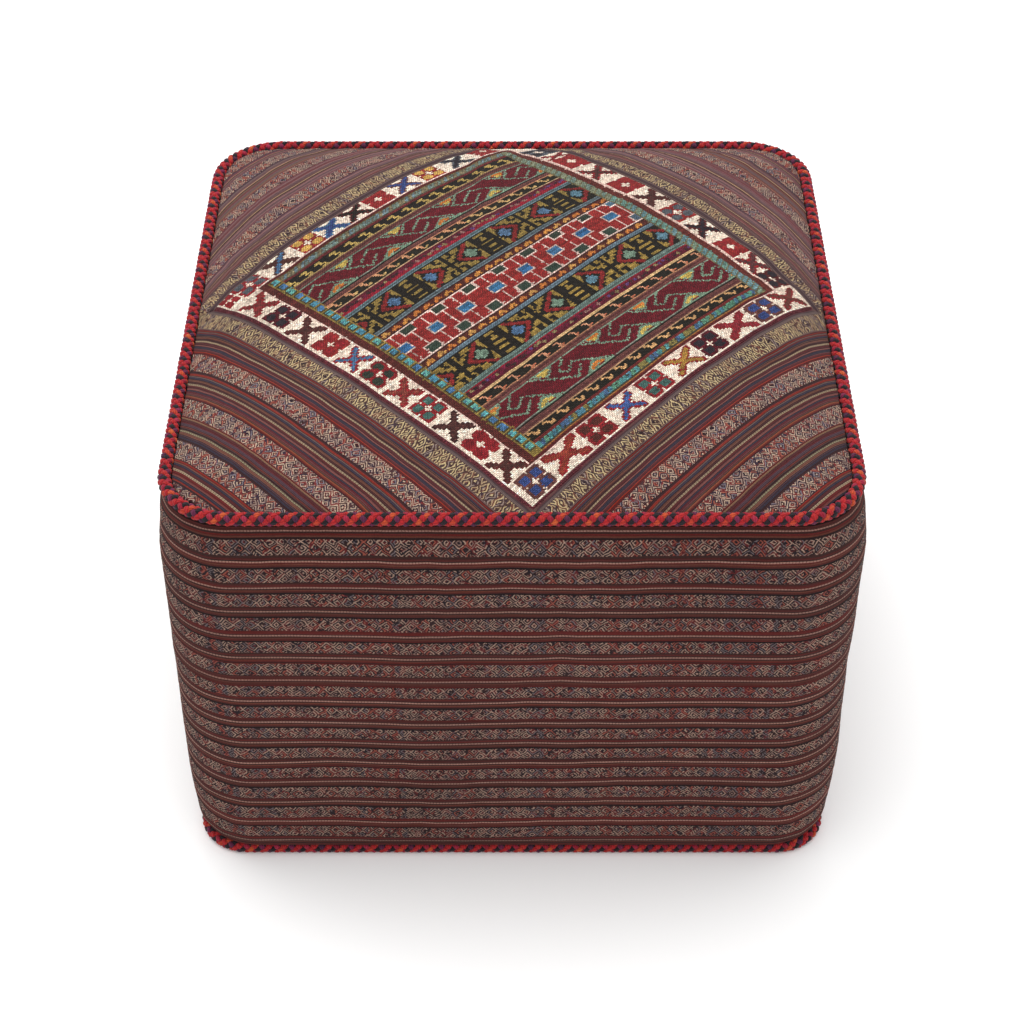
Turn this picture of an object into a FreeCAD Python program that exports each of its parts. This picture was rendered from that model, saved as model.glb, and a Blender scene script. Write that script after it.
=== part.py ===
import FreeCAD, Part
import Sketcher
import os

# Square upholstered pouf, woven wool cover over a foam block.
# Frame: +Z up, origin on the floor under the middle of the pouf, front towards -Y.
# All lengths in millimetres.

os.makedirs("parts", exist_ok=True)
doc = FreeCAD.newDocument("square_pouf")
V = FreeCAD.Vector

# ---------------------------------------------------------------- dimensions
CELLS = [
    # cover and edge cords
    ("top_half", 247.0, "half width of the top cord's centre line"),
    ("top_level", 347.0, "height of the top cord's centre line"),
    ("top_corner", 52.0, "corner radius of the top cord's centre line"),
    ("bottom_half", 243.2, "half width of the bottom cord's centre line"),
    ("bottom_level", 4.7, "height of the bottom cord's centre line"),
    ("bottom_corner", 34.0, "corner radius of the bottom cord's centre line"),
    ("cord_radius", 5.0, "outer radius of the braided cords"),
    ("core_radius", 2.8, "radius of the filler cord inside the braid"),
    ("running_gap", 0.2, "gap left between neighbouring soft pieces"),
    # rise of the crowned top above the cord, with x and y as fractions of top_half:
    # (1 - x^2) (1 - y^2) (rise + rise_x2 x^2 + rise_x4 x^4 + ... + rise_y6 y^6)
    ("rise", 33.7, "rise of the top's middle above the top cord"),
    ("rise_x1", 4.2, "coefficient of x"),
    ("rise_x2", 27.5, "coefficient of x^2"),
    ("rise_x4", 19.1, "coefficient of x^4"),
    ("rise_x6", 11.2, "coefficient of x^6"),
    ("rise_y1", 9.2, "coefficient of y"),
    ("rise_y2", 4.6, "coefficient of y^2"),
    ("rise_y3", 2.0, "coefficient of y^3"),
    ("rise_y4", 33.5, "coefficient of y^4"),
    ("rise_y6", -26.4, "coefficient of y^6"),
    ("rise_x2y1", 14.2, "coefficient of x^2 y"),
    ("rise_x2y2", 51.6, "coefficient of x^2 y^2"),
    ("cloth", 1.6, "thickness of the wool cloths"),
    ("band_half", 250.0, "half width of the path the side band follows"),
    ("band_corner", 50.0, "corner radius of that path"),
    ("band_thick", 2.0, "thickness of the side band with its interlining"),
    # outline of the diamond panel, plan positions of its four corners
    ("left_x", 230.4, "left corner, distance from the middle"),
    ("left_y", -8.7, "left corner, towards the back (negative is towards the front)"),
    ("right_x", 233.4, "right corner, distance from the middle"),
    ("right_y", -6.1, "right corner, towards the back (negative is towards the front)"),
    ("front_x", 14.6, "front corner, towards the right"),
    ("front_y", 240.0, "front corner, distance from the middle"),
    ("back_x", -3.0, "back corner, towards the left (negative is towards the right)"),
    ("back_y", 262.0, "back corner, distance from the middle, its tip is cut off by the back seam"),
    # filling
    ("lining", 0.5, "thickness of interlining and calico"),
    ("bag_half", 241.3, "half width of the inner bag"),
    ("bag_corner", 47.0, "corner radius of the inner bag"),
    ("bag_bottom", 12.0, "underside of the inner bag"),
    ("foam_half", 232.0, "half width of the foam block"),
    ("foam_corner", 30.0, "rounded vertical edge of the foam block"),
    ("foam_layer", 105.0, "thickness of one foam layer"),
    # base and zip
    ("base_half", 237.8, "half width of the base cloth"),
    ("base_corner", 28.6, "corner radius of the base cloth"),
    ("base_level", 7.0, "underside of the base cloth"),
    ("base_cloth", 1.4, "thickness of the base cloth"),
    ("slit_half", 6.0, "half width of the opening the zip closes"),
    ("slit_long", 400.0, "length of the opening the zip closes"),
    ("seam_half", 0.1, "half the gap where the base halves meet past the zip"),
    ("zip_length", 384.0, "length of the zip chain"),
    ("zip_mid", 8.8, "height of the middle of the zip chain"),
    ("tape_thick", 0.6, "thickness of the zip tape"),
    ("tape_edge", 15.0, "outer edge of the zip tape from the middle"),
    ("row_inner", 0.55, "inner edge of one row of the chain"),
    ("row_outer", 3.1, "outer edge of one row of the chain"),
    ("row_thick", 2.2, "thickness of the chain"),
    ("slider_long", 11.0, "length of the slider"),
    ("slider_wide", 9.0, "width of the slider"),
    ("slider_rest", 178.0, "slider's middle when the zip is closed"),
    ("plate", 1.0, "thickness of the slider's plates"),
    ("plate_gap", 0.3, "clearance between chain and plates"),
    ("pull_long", 24.0, "length of the pull tab"),
    ("pull_wide", 6.4, "width of the pull tab"),
    ("pull_droop", 10.0, "angle at which the pull tab hangs, degrees"),
    ("stop_long", 3.0, "length of an end stop"),
]
sheet = doc.addObject("Spreadsheet::Sheet", "Dims")
for row, (alias, value, note) in enumerate(CELLS, start=1):
    sheet.set("A%d" % row, note)
    sheet.set("B%d" % row, repr(value))
    sheet.setAlias("B%d" % row, alias)
doc.recompute()


class Dim:
    """A size: its present value, and the expression over the sheet that gives it."""

    def __init__(self, value, text):
        self.value = float(value)
        self.text = text

    @staticmethod
    def of(x):
        return x if isinstance(x, Dim) else Dim(x, repr(float(x)))

    def __add__(self, o):
        o = Dim.of(o)
        return Dim(self.value + o.value, "(%s + %s)" % (self.text, o.text))

    def __radd__(self, o):
        return Dim.of(o) + self

    def __sub__(self, o):
        o = Dim.of(o)
        return Dim(self.value - o.value, "(%s - %s)" % (self.text, o.text))

    def __rsub__(self, o):
        return Dim.of(o) - self

    def __mul__(self, o):
        o = Dim.of(o)
        return Dim(self.value * o.value, "(%s * %s)" % (self.text, o.text))

    def __rmul__(self, o):
        return Dim.of(o) * self

    def __truediv__(self, o):
        o = Dim.of(o)
        return Dim(self.value / o.value, "(%s / %s)" % (self.text, o.text))

    def __neg__(self):
        return Dim(-self.value, "(-1 * %s)" % self.text)


class Sizes:
    pass


D = Sizes()
for alias, _, _ in CELLS:
    setattr(D, alias, Dim(sheet.get(alias), "Dims.%s" % alias))

gap = D.running_gap
pieces = []  # every exported sub-part


def keep(obj, label):
    obj.Label = label
    pieces.append(obj)
    return obj


# ------------------------------------------------------------------- helpers
def origin_plane(body, role):
    for f in body.Origin.OriginFeatures:
        if f.Role == role:
            return f


def new_sketch(owner, name, role="XY_Plane", level=None):
    """A sketch on the body's own origin plane, or free standing on the ground plane."""
    if owner is None:
        sk = doc.addObject("Sketcher::SketchObject", name)
        if level is not None:
            sk.setExpression("Placement.Base.z", Dim.of(level).text)
    else:
        sk = owner.newObject("Sketcher::SketchObject", name)
        sk.AttachmentSupport = [(origin_plane(owner, role), "")]
        sk.MapMode = "FlatFace"
        if level is not None:
            sk.setExpression("AttachmentOffset.Base.z", Dim.of(level).text)
    return sk


def bind(sk, constraint, size):
    i = sk.addConstraint(constraint)
    sk.setExpression("Constraints[%d]" % i, size.text)
    return i


def at(sk, geo, pos, x, y):
    """Hold one end point of a line at a stated place."""
    x, y = Dim.of(x), Dim.of(y)
    bind(sk, Sketcher.Constraint("DistanceX", -1, 1, geo, pos, x.value), x)
    bind(sk, Sketcher.Constraint("DistanceY", -1, 1, geo, pos, y.value), y)


def polygon(sk, points):
    pts = [(Dim.of(x), Dim.of(y)) for x, y in points]
    n = len(pts)
    ids = []
    for i in range(n):
        a, b = pts[i], pts[(i + 1) % n]
        ids.append(sk.addGeometry(Part.LineSegment(V(a[0].value, a[1].value, 0), V(b[0].value, b[1].value, 0)), False))
    for i in range(n):
        sk.addConstraint(Sketcher.Constraint("Coincident", ids[i], 2, ids[(i + 1) % n], 1))
    for i in range(n):
        at(sk, ids[i], 1, pts[i][0], pts[i][1])
    return ids


def circle(sk, x, y, radius):
    x, y, radius = Dim.of(x), Dim.of(y), Dim.of(radius)
    g = sk.addGeometry(Part.Circle(V(x.value, y.value, 0), V(0, 0, 1), radius.value), False)
    at(sk, g, 3, x, y)
    bind(sk, Sketcher.Constraint("Radius", g, radius.value), radius)
    return g


def rounded_rectangle(sk, x0, y0, x1, y1, radius):
    """Rectangle from (x0, y0) to (x1, y1) whose corners are arcs tangent to its sides."""
    x0, y0, x1, y1, r = [Dim.of(a) for a in (x0, y0, x1, y1, radius)]
    a, b, c, d, q = x0.value, y0.value, x1.value, y1.value, r.value
    import math
    L = [
        sk.addGeometry(Part.LineSegment(V(a + q, b, 0), V(c - q, b, 0)), False),
        sk.addGeometry(Part.LineSegment(V(c, b + q, 0), V(c, d - q, 0)), False),
        sk.addGeometry(Part.LineSegment(V(c - q, d, 0), V(a + q, d, 0)), False),
        sk.addGeometry(Part.LineSegment(V(a, d - q, 0), V(a, b + q, 0)), False),
    ]
    centres = [(c - q, b + q, -0.5), (c - q, d - q, 0.0), (a + q, d - q, 0.5), (a + q, b + q, 1.0)]
    A = []
    for cx, cy, turn in centres:
        arc = Part.ArcOfCircle(Part.Circle(V(cx, cy, 0), V(0, 0, 1), q), turn * math.pi, (turn + 0.5) * math.pi)
        A.append(sk.addGeometry(arc, False))
    for i in range(4):
        sk.addConstraint(Sketcher.Constraint("Tangent", L[i], 2, A[i], 1))
        sk.addConstraint(Sketcher.Constraint("Tangent", A[i], 2, L[(i + 1) % 4], 1))
    for i in (0, 2):
        sk.addConstraint(Sketcher.Constraint("Horizontal", L[i]))
    for i in (1, 3):
        sk.addConstraint(Sketcher.Constraint("Vertical", L[i]))
    for i in (1, 2, 3):
        sk.addConstraint(Sketcher.Constraint("Equal", A[0], A[i]))
    bind(sk, Sketcher.Constraint("Radius", A[0], q), r)
    bind(sk, Sketcher.Constraint("DistanceY", -1, 1, L[0], 1, b), y0)
    bind(sk, Sketcher.Constraint("DistanceX", -1, 1, L[1], 1, c), x1)
    bind(sk, Sketcher.Constraint("DistanceY", -1, 1, L[2], 1, d), y1)
    bind(sk, Sketcher.Constraint("DistanceX", -1, 1, L[3], 1, a), x0)


def rounded_square(sk, half, radius):
    half = Dim.of(half)
    rounded_rectangle(sk, -half, -half, half, half, radius)


def pad(body, sk, length, name, both=False, reverse=False):
    f = body.newObject("PartDesign::Pad", name)
    f.Profile = sk
    f.Length = Dim.of(length).value
    f.setExpression("Length", Dim.of(length).text)
    if both:
        f.SideType = "Symmetric"
    f.Reversed = reverse
    return f


def pocket(body, sk, name, through=True, length=None, reverse=False, both=False):
    f = body.newObject("PartDesign::Pocket", name)
    f.Profile = sk
    if through:
        f.Type = "ThroughAll"
        if both:
            f.SideType = "Symmetric"
    else:
        f.Length = Dim.of(length).value
        f.setExpression("Length", Dim.of(length).text)
    f.Reversed = reverse
    return f


def pipe(body, profile, path, name, subtract=False):
    f = body.newObject("PartDesign::SubtractivePipe" if subtract else "PartDesign::AdditivePipe", name)
    f.Profile = profile
    f.Spine = (path, ["Edge%d" % (i + 1) for i in range(path.GeometryCount)])
    f.Mode = "Standard"
    f.Transition = "Transformed"
    return f


def free_prism(name, half, radius, low, high):
    """Free-standing rounded-square prism between two heights."""
    low, high = Dim.of(low), Dim.of(high)
    sk = new_sketch(None, name + "_outline", level=low)
    rounded_square(sk, half, radius)
    e = doc.addObject("Part::Extrusion", name)
    e.Base = sk
    e.DirMode = "Custom"
    e.Dir = V(0, 0, 1)
    e.LengthFwd = (high - low).value
    e.setExpression("LengthFwd", (high - low).text)
    e.Solid = True
    return e


def free_polygon_prism(name, points, low, length):
    sk = new_sketch(None, name + "_outline", level=low)
    polygon(sk, points)
    e = doc.addObject("Part::Extrusion", name)
    e.Base = sk
    e.DirMode = "Custom"
    e.Dir = V(0, 0, 1)
    e.LengthFwd = Dim.of(length).value
    e.setExpression("LengthFwd", Dim.of(length).text)
    e.Solid = True
    return e


# -------------------------------------------------------------- edge cords
def ring_body(name, half, level, corner, outer, inner=None, flat=False):
    """Round cord, or tube, that follows a rounded square."""
    body = doc.addObject("PartDesign::Body", name)
    path = new_sketch(body, name + "_path", "XY_Plane", level)
    rounded_square(path, half, corner)
    section = new_sketch(body, name + "_section", "XZ_Plane")
    circle(section, half, level, outer)
    doc.recompute()
    pipe(body, section, path, name + "_sweep")
    doc.recompute()
    if inner is not None:
        bore = new_sketch(body, name + "_bore", "XZ_Plane")
        circle(bore, half, level, inner)
        doc.recompute()
        pipe(body, bore, path, name + "_hollow", subtract=True)
        doc.recompute()
    if flat:
        # underside pressed flat by the weight on it, level with the floor
        foot = new_sketch(body, name + "_foot", "XY_Plane")
        rounded_square(foot, half + 20, corner)
        doc.recompute()
        before = body.Shape.Volume
        pocket(body, foot, name + "_pressed", through=False, length=5.0)
        doc.recompute()
        if not body.Shape.Volume < before - 100:
            raise RuntimeError("the pressed underside of %s cuts nothing" % name)
    return body


keep(ring_body("top_braid", D.top_half, D.top_level, D.top_corner, D.cord_radius, D.core_radius + 0.1), "top_braid")
keep(ring_body("top_braid_core", D.top_half, D.top_level, D.top_corner, D.core_radius), "top_braid_core")
keep(
    ring_body("bottom_braid", D.bottom_half, D.bottom_level, D.bottom_corner, D.cord_radius, D.core_radius + 0.1, flat=True),
    "bottom_braid",
)
keep(ring_body("bottom_braid_core", D.bottom_half, D.bottom_level, D.bottom_corner, D.core_radius), "bottom_braid_core")

# --------------------------------------------------------------- side band
# Wall section swept round the pouf: turned in under the top cord, fullest a hand's
# width below it, then leaning in towards the bottom cord.
band = doc.addObject("PartDesign::Body", "side_band")
band_path = new_sketch(band, "side_band_path", "XY_Plane", D.bottom_level + D.cord_radius + 0.5)
rounded_square(band_path, D.band_half, D.band_corner)
band_section = new_sketch(band, "side_band_section", "XZ_Plane")
top_edge = D.top_level - D.cord_radius - gap
low_edge = D.bottom_level + D.cord_radius + 0.4
outer = [
    (D.band_half - 3.4, top_edge),
    (D.band_half - 1.0, top_edge - 3.4),
    (D.band_half + 0.6, top_edge - 8.8),
    (D.band_half + 2.0, top_edge - 16.0),
    (D.band_half + 3.9, top_edge - 30.0),
    (D.band_half + 5.3, top_edge - 52.0),
    (D.band_half + 5.2, top_edge - 162.0),
    (D.band_half + 3.6, low_edge + 70.0),
    (D.band_half + 1.4, low_edge + 10.0),
    (D.band_half - 3.0, low_edge),
]
inner = [(x - D.band_thick, y) for x, y in reversed(outer)]
polygon(band_section, outer + inner)
doc.recompute()
pipe(band, band_section, band_path, "side_band_sweep")
doc.recompute()
keep(band, "side_band")

# ------------------------------------------------------- crowned top surface
# The rise is a polynomial of degree 8 in x and in y, so one patch of that degree
# holds it exactly. Its poles follow from the polynomial's coefficients.
DEGREE = 8


def binomial(n, k):
    b = 1
    for i in range(k):
        b = b * (n - i) // (i + 1)
    return b


def power_to_bernstein(power):
    """Bernstein coefficients of x^power, x = 2 t - 1, over t from 0 to 1."""
    mono = [0.0] * (DEGREE + 1)
    for j in range(power + 1):
        mono[j] = binomial(power, j) * 2.0**j * (-1.0) ** (power - j)
    return [
        sum(binomial(i, j) / binomial(DEGREE, j) * mono[j] for j in range(i + 1)) for i in range(DEGREE + 1)
    ]


BASIS = [power_to_bernstein(k) for k in range(DEGREE + 1)]
a, z0 = D.top_half.value, D.top_level.value
rises = {
    (0, 0): D.rise.value,
    (1, 0): D.rise_x1.value,
    (2, 0): D.rise_x2.value,
    (4, 0): D.rise_x4.value,
    (6, 0): D.rise_x6.value,
    (0, 1): D.rise_y1.value,
    (0, 2): D.rise_y2.value,
    (0, 3): D.rise_y3.value,
    (0, 4): D.rise_y4.value,
    (0, 6): D.rise_y6.value,
    (2, 1): D.rise_x2y1.value,
    (2, 2): D.rise_x2y2.value,
}
heights = [[z0] * (DEGREE + 1) for _ in range(DEGREE + 1)]
for (i, j), c in rises.items():
    # times (1 - x^2) (1 - y^2)
    for di, ci in ((0, 1.0), (2, -1.0)):
        for dj, cj in ((0, 1.0), (2, -1.0)):
            for p in range(DEGREE + 1):
                for q in range(DEGREE + 1):
                    heights[p][q] += c * ci * cj * BASIS[i + di][p] * BASIS[j + dj][q]
poles = [
    [V(a * (2.0 * p / DEGREE - 1), a * (2.0 * q / DEGREE - 1), heights[p][q]) for q in range(DEGREE + 1)]
    for p in range(DEGREE + 1)
]
patch = Part.BSplineSurface()
ends = [DEGREE + 1, DEGREE + 1]
patch.buildFromPolesMultsKnots(poles, ends, ends, [0, 1], [0, 1], False, False, DEGREE, DEGREE)
crown_surface = doc.addObject("Part::Feature", "crown_surface")
crown_surface.Shape = patch.toShape()


def dome_slab(name, down, thick):
    """The crowned surface lowered by one distance and thickened downwards by another."""
    down, thick = Dim.of(down), Dim.of(thick)
    lowered = doc.addObject("Part::Feature", name + "_surface")
    lowered.Shape = patch.toShape()
    lowered.Placement = FreeCAD.Placement(V(0, 0, -down.value), FreeCAD.Rotation())
    lowered.setExpression("Placement.Base.z", (-down).text)
    e = doc.addObject("Part::Extrusion", name)
    e.Base = lowered
    e.DirMode = "Custom"
    e.Dir = V(0, 0, -1)
    e.LengthFwd = thick.value
    e.setExpression("LengthFwd", thick.text)
    e.Solid = True
    return e


def common(name, *shapes):
    c = doc.addObject("Part::MultiCommon", name)
    c.Shapes = list(shapes)
    return c


def cut(name, base, tool):
    c = doc.addObject("Part::Cut", name)
    c.Base = base
    c.Tool = tool
    return c


top_inside = D.top_half - D.cord_radius - gap
inside_corner = D.top_corner - D.cord_radius - gap

left = (-D.left_x, D.left_y)
right = (D.right_x, D.right_y)
front = (D.front_x, -D.front_y)
back = (-D.back_x, D.back_y)

keep(
    common(
        "kilim_diamond",
        dome_slab("diamond_skin", 0, D.cloth),
        free_polygon_prism("diamond_cutter", [left, front, right, back], 300, 120),
        free_prism("diamond_limit", top_inside, inside_corner, 300, 420),
    ),
    "kilim_diamond",
)


def corner_panel(label, one, other, sx, sy):
    """One corner of the top, outside the diamond edge between two of its corners."""
    dx, dy = gap * float(sx), gap * float(sy)
    far = 300.0
    a1 = (one[0] + dx, one[1] + dy)
    b1 = (other[0] + dx, other[1] + dy)
    # from the side corner straight out to the edge, round the pouf's corner, back in
    pts = [a1, (Dim.of(sx * far), a1[1]), (Dim.of(sx * far), Dim.of(sy * far)), (b1[0], Dim.of(sy * far)), b1]
    return keep(
        common(
            label,
            dome_slab(label + "_skin", 0, D.cloth),
            free_polygon_prism(label + "_cutter", pts, 300, 120),
            free_prism(label + "_limit", top_inside, inside_corner, 300, 420),
        ),
        label,
    )


corner_panel("corner_panel_front_left", left, front, -1, -1)
corner_panel("corner_panel_front_right", right, front, 1, -1)
corner_panel("corner_panel_back_left", left, back, -1, 1)
corner_panel("corner_panel_back_right", right, back, 1, 1)

keep(
    common(
        "top_interlining",
        dome_slab("interlining_skin", D.cloth + gap, D.lining),
        free_prism("interlining_limit", top_inside - 0.5, inside_corner - 0.5, 300, 420),
    ),
    "top_interlining",
)

# ----------------------------------------------------------------- inner bag
bag_top_down = D.cloth + gap + D.lining + gap
keep(
    common(
        "inner_bag_top",
        dome_slab("bag_top_skin", bag_top_down, D.lining),
        free_prism("bag_top_limit", D.bag_half, D.bag_corner, 300, 420),
    ),
    "inner_bag_top",
)
under_top = bag_top_down + D.lining + gap
bag_outer = common(
    "bag_outer",
    dome_slab("bag_outer_crown", under_top, 500),
    free_prism("bag_outer_prism", D.bag_half, D.bag_corner, D.bag_bottom, 420),
)
bag_hollow = free_prism("bag_hollow", D.bag_half - D.lining, D.bag_corner - D.lining, D.bag_bottom + D.lining, 420)
keep(cut("inner_bag_body", bag_outer, bag_hollow), "inner_bag_body")

# ------------------------------------------------------------------- filling
foam_low = D.bag_bottom + D.lining + gap


def foam_layer(label, low):
    body = doc.addObject("PartDesign::Body", label)
    sk = new_sketch(body, label + "_outline", "XY_Plane", low)
    rounded_square(sk, D.foam_half, D.foam_corner)
    doc.recompute()
    pad(body, sk, D.foam_layer, label + "_pad")
    doc.recompute()
    return keep(body, label)


foam_layer("foam_base_layer", foam_low)
foam_layer("foam_middle_layer", foam_low + D.foam_layer + gap)
foam_layer("foam_top_layer", foam_low + (D.foam_layer + gap) * 2)
foam_high = foam_low + (D.foam_layer + gap) * 3

wrap = doc.addObject("PartDesign::Body", "wadding_side_wrap")
wrap_outline = new_sketch(wrap, "wadding_side_wrap_outline", "XY_Plane", foam_low)
rounded_square(wrap_outline, D.bag_half - D.lining - gap, D.bag_corner - D.lining - gap)
doc.recompute()
pad(wrap, wrap_outline, foam_high - foam_low - gap, "wadding_side_wrap_pad")
doc.recompute()
solid_volume = wrap.Shape.Volume
wrap_room = new_sketch(wrap, "wadding_side_wrap_room", "XY_Plane", foam_low)
rounded_square(wrap_room, D.foam_half + gap, D.foam_corner + gap)
doc.recompute()
pocket(wrap, wrap_room, "wadding_side_wrap_pocket", through=False, length=foam_high - foam_low, reverse=True)
doc.recompute()
if not wrap.Shape.Volume < 0.5 * solid_volume:
    raise RuntimeError("the room for the foam cuts nothing")
keep(wrap, "wadding_side_wrap")

keep(
    common(
        "wadding_crown",
        dome_slab("wadding_crown_skin", under_top, 500),
        free_prism("wadding_crown_prism", D.bag_half - D.lining - gap, D.bag_corner - D.lining - gap, foam_high, 420),
    ),
    "wadding_crown",
)


# ---------------------------------------------------------------------- base
def base_panel(label, sy):
    """Half of the base cloth, from the zip's slit out to the bottom cord."""
    import math

    body = doc.addObject("PartDesign::Body", label)
    sk = new_sketch(body, label + "_outline", "XY_Plane", D.base_level)
    w, r, s = D.base_half, D.base_corner, D.seam_half
    e = w - r
    W, R, S, E = w.value, r.value, s.value, e.value
    y_in, y_e, y_out = sy * S, sy * E, sy * W
    lines = [
        sk.addGeometry(Part.LineSegment(V(-W, y_in, 0), V(W, y_in, 0)), False),
        sk.addGeometry(Part.LineSegment(V(W, y_in, 0), V(W, y_e, 0)), False),
        sk.addGeometry(Part.LineSegment(V(E, y_out, 0), V(-E, y_out, 0)), False),
        sk.addGeometry(Part.LineSegment(V(-W, y_e, 0), V(-W, y_in, 0)), False),
    ]
    if sy < 0:
        spans = [(E, y_e, -0.5, 0.0), (-E, y_e, -1.0, -0.5)]
    else:
        spans = [(E, y_e, 0.0, 0.5), (-E, y_e, 0.5, 1.0)]
    arcs = []
    for cx, cy, t0, t1 in spans:
        arcs.append(
            sk.addGeometry(
                Part.ArcOfCircle(Part.Circle(V(cx, cy, 0), V(0, 0, 1), R), t0 * math.pi, t1 * math.pi), False
            )
        )
    # an arc runs anticlockwise from its first point to its second
    right_ends = (2, 1) if sy < 0 else (1, 2)
    left_ends = (2, 1) if sy < 0 else (1, 2)
    sk.addConstraint(Sketcher.Constraint("Coincident", lines[0], 2, lines[1], 1))
    sk.addConstraint(Sketcher.Constraint("Coincident", lines[3], 2, lines[0], 1))
    sk.addConstraint(Sketcher.Constraint("Tangent", lines[1], 2, arcs[0], right_ends[0]))
    sk.addConstraint(Sketcher.Constraint("Tangent", arcs[0], right_ends[1], lines[2], 1))
    sk.addConstraint(Sketcher.Constraint("Tangent", lines[2], 2, arcs[1], left_ends[0]))
    sk.addConstraint(Sketcher.Constraint("Tangent", arcs[1], left_ends[1], lines[3], 1))
    sk.addConstraint(Sketcher.Constraint("Vertical", lines[1]))
    sk.addConstraint(Sketcher.Constraint("Vertical", lines[3]))
    sk.addConstraint(Sketcher.Constraint("Horizontal", lines[2]))
    sk.addConstraint(Sketcher.Constraint("Horizontal", lines[0]))
    sk.addConstraint(Sketcher.Constraint("Equal", arcs[0], arcs[1]))
    bind(sk, Sketcher.Constraint("Radius", arcs[0], R), r)
    bind(sk, Sketcher.Constraint("DistanceY", -1, 1, lines[0], 1, y_in), s * float(sy))
    bind(sk, Sketcher.Constraint("DistanceX", -1, 1, lines[0], 1, -W), -w)
    bind(sk, Sketcher.Constraint("DistanceX", -1, 1, lines[0], 2, W), w)
    bind(sk, Sketcher.Constraint("DistanceY", -1, 1, lines[2], 1, y_out), w * float(sy))
    doc.recompute()
    pad(body, sk, D.base_cloth, label + "_pad")
    doc.recompute()
    whole = body.Shape.Volume
    # the halves are sewn together past the zip's ends and stand apart along it
    slit = new_sketch(body, label + "_slit", "XY_Plane", D.base_level)
    rounded_rectangle(slit, -D.slit_long / 2, -D.slit_half, D.slit_long / 2, D.slit_half, 2.0)
    doc.recompute()
    pocket(body, slit, label + "_slit_pocket", through=False, length=D.base_cloth + 1, reverse=True)
    doc.recompute()
    if not body.Shape.Volume < whole - 1000:
        raise RuntimeError("the zip's slit cuts nothing from %s" % label)
    return keep(body, label)


base_panel("base_panel_front", -1)
base_panel("base_panel_back", 1)


# ----------------------------------------------------------------------- zip
def strip(label, y0, y1, low, high, length):
    """Straight strip along X with the given cross section."""
    body = doc.addObject("PartDesign::Body", label)
    sk = new_sketch(body, label + "_section", "YZ_Plane")
    polygon(sk, [(y0, low), (y1, low), (y1, high), (y0, high)])
    doc.recompute()
    pad(body, sk, length, label + "_pad", both=True)
    doc.recompute()
    return body


tape_low = D.zip_mid - D.tape_thick / 2
tape_high = D.zip_mid + D.tape_thick / 2
row_low = D.zip_mid - D.row_thick / 2
row_high = D.zip_mid + D.row_thick / 2
tape_long = D.zip_length + 26
keep(strip("zip_tape_front", -D.tape_edge, -(D.row_outer + 0.05), tape_low, tape_high, tape_long), "zip_tape_front")
keep(strip("zip_tape_back", D.row_outer + 0.05, D.tape_edge, tape_low, tape_high, tape_long), "zip_tape_back")
for label, y0, y1 in (
    ("zip_chain_front", -D.row_outer, -D.row_inner),
    ("zip_chain_back", D.row_inner, D.row_outer),
):
    body = doc.addObject("PartDesign::Body", label)
    sk = new_sketch(body, label + "_section", "YZ_Plane")
    rounded_rectangle(sk, y0, row_low, y1, row_high, 0.6)
    doc.recompute()
    pad(body, sk, D.zip_length, label + "_pad", both=True)
    doc.recompute()
    keep(body, label)

# end stops: a clip bridging both rows just past each end of the chain
for label, side in (("zip_stop_closed_end", 1.0), ("zip_stop_open_end", -1.0)):
    body = doc.addObject("PartDesign::Body", label)
    sk = new_sketch(body, label + "_outline", "XY_Plane", row_low)
    x0 = D.zip_length / 2 + 0.2
    x1 = x0 + D.stop_long
    lo, hi = (x0, x1) if side > 0 else (-x1, -x0)
    polygon(sk, [(lo, -D.row_outer + 0.1), (hi, -D.row_outer + 0.1), (hi, D.row_outer - 0.1), (lo, D.row_outer - 0.1)])
    doc.recompute()
    pad(body, sk, D.row_thick, label + "_pad")
    doc.recompute()
    keep(body, label)

# slider: two plates joined by a thin divider that runs in the slit between the rows
slider = doc.addObject("PartDesign::Body", "zip_slider")
inner_low = row_high + D.plate_gap
outer_high = row_low - D.plate_gap
outer_low = outer_high - D.plate
sx0 = D.slider_rest - D.slider_long / 2
sx1 = D.slider_rest + D.slider_long / 2
half_w = D.slider_wide / 2
sk = new_sketch(slider, "slider_outer_plate", "XY_Plane", outer_low)
rounded_rectangle(sk, sx0, -half_w, sx1, half_w, 2.0)
doc.recompute()
pad(slider, sk, D.plate, "slider_outer_pad")
doc.recompute()
sk = new_sketch(slider, "slider_divider", "XY_Plane", outer_low + 0.2)
polygon(
    sk,
    [
        (D.slider_rest + 1.0, -(D.row_inner - 0.15)),
        (D.slider_rest + 4.6, -(D.row_inner - 0.15)),
        (D.slider_rest + 4.6, D.row_inner - 0.15),
        (D.slider_rest + 1.0, D.row_inner - 0.15),
    ],
)
doc.recompute()
pad(slider, sk, inner_low - outer_low + 0.4, "slider_divider_pad")
doc.recompute()
sk = new_sketch(slider, "slider_inner_plate", "XY_Plane", inner_low)
rounded_rectangle(sk, sx0, -half_w, sx1, half_w, 2.0)
doc.recompute()
pad(slider, sk, D.plate, "slider_inner_pad")
doc.recompute()
# rims of the plates, turned towards the tape and leaving room for it
for name, low, tall in (
    ("slider_outer_rims", outer_high - 0.2, 0.9),
    ("slider_inner_rims", inner_low - 0.7, 0.9),
):
    for sy in (-1.0, 1.0):
        sk = new_sketch(slider, name + ("_a" if sy < 0 else "_b"), "XY_Plane", low)
        y_a, y_b = (half_w - 0.8) * sy, half_w * sy
        polygon(sk, [(sx0 + 2.0, y_a), (sx1 - 2.0, y_a), (sx1 - 2.0, y_b), (sx0 + 2.0, y_b)])
        doc.recompute()
        pad(slider, sk, tall, sk.Name + "_pad")
        doc.recompute()
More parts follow.
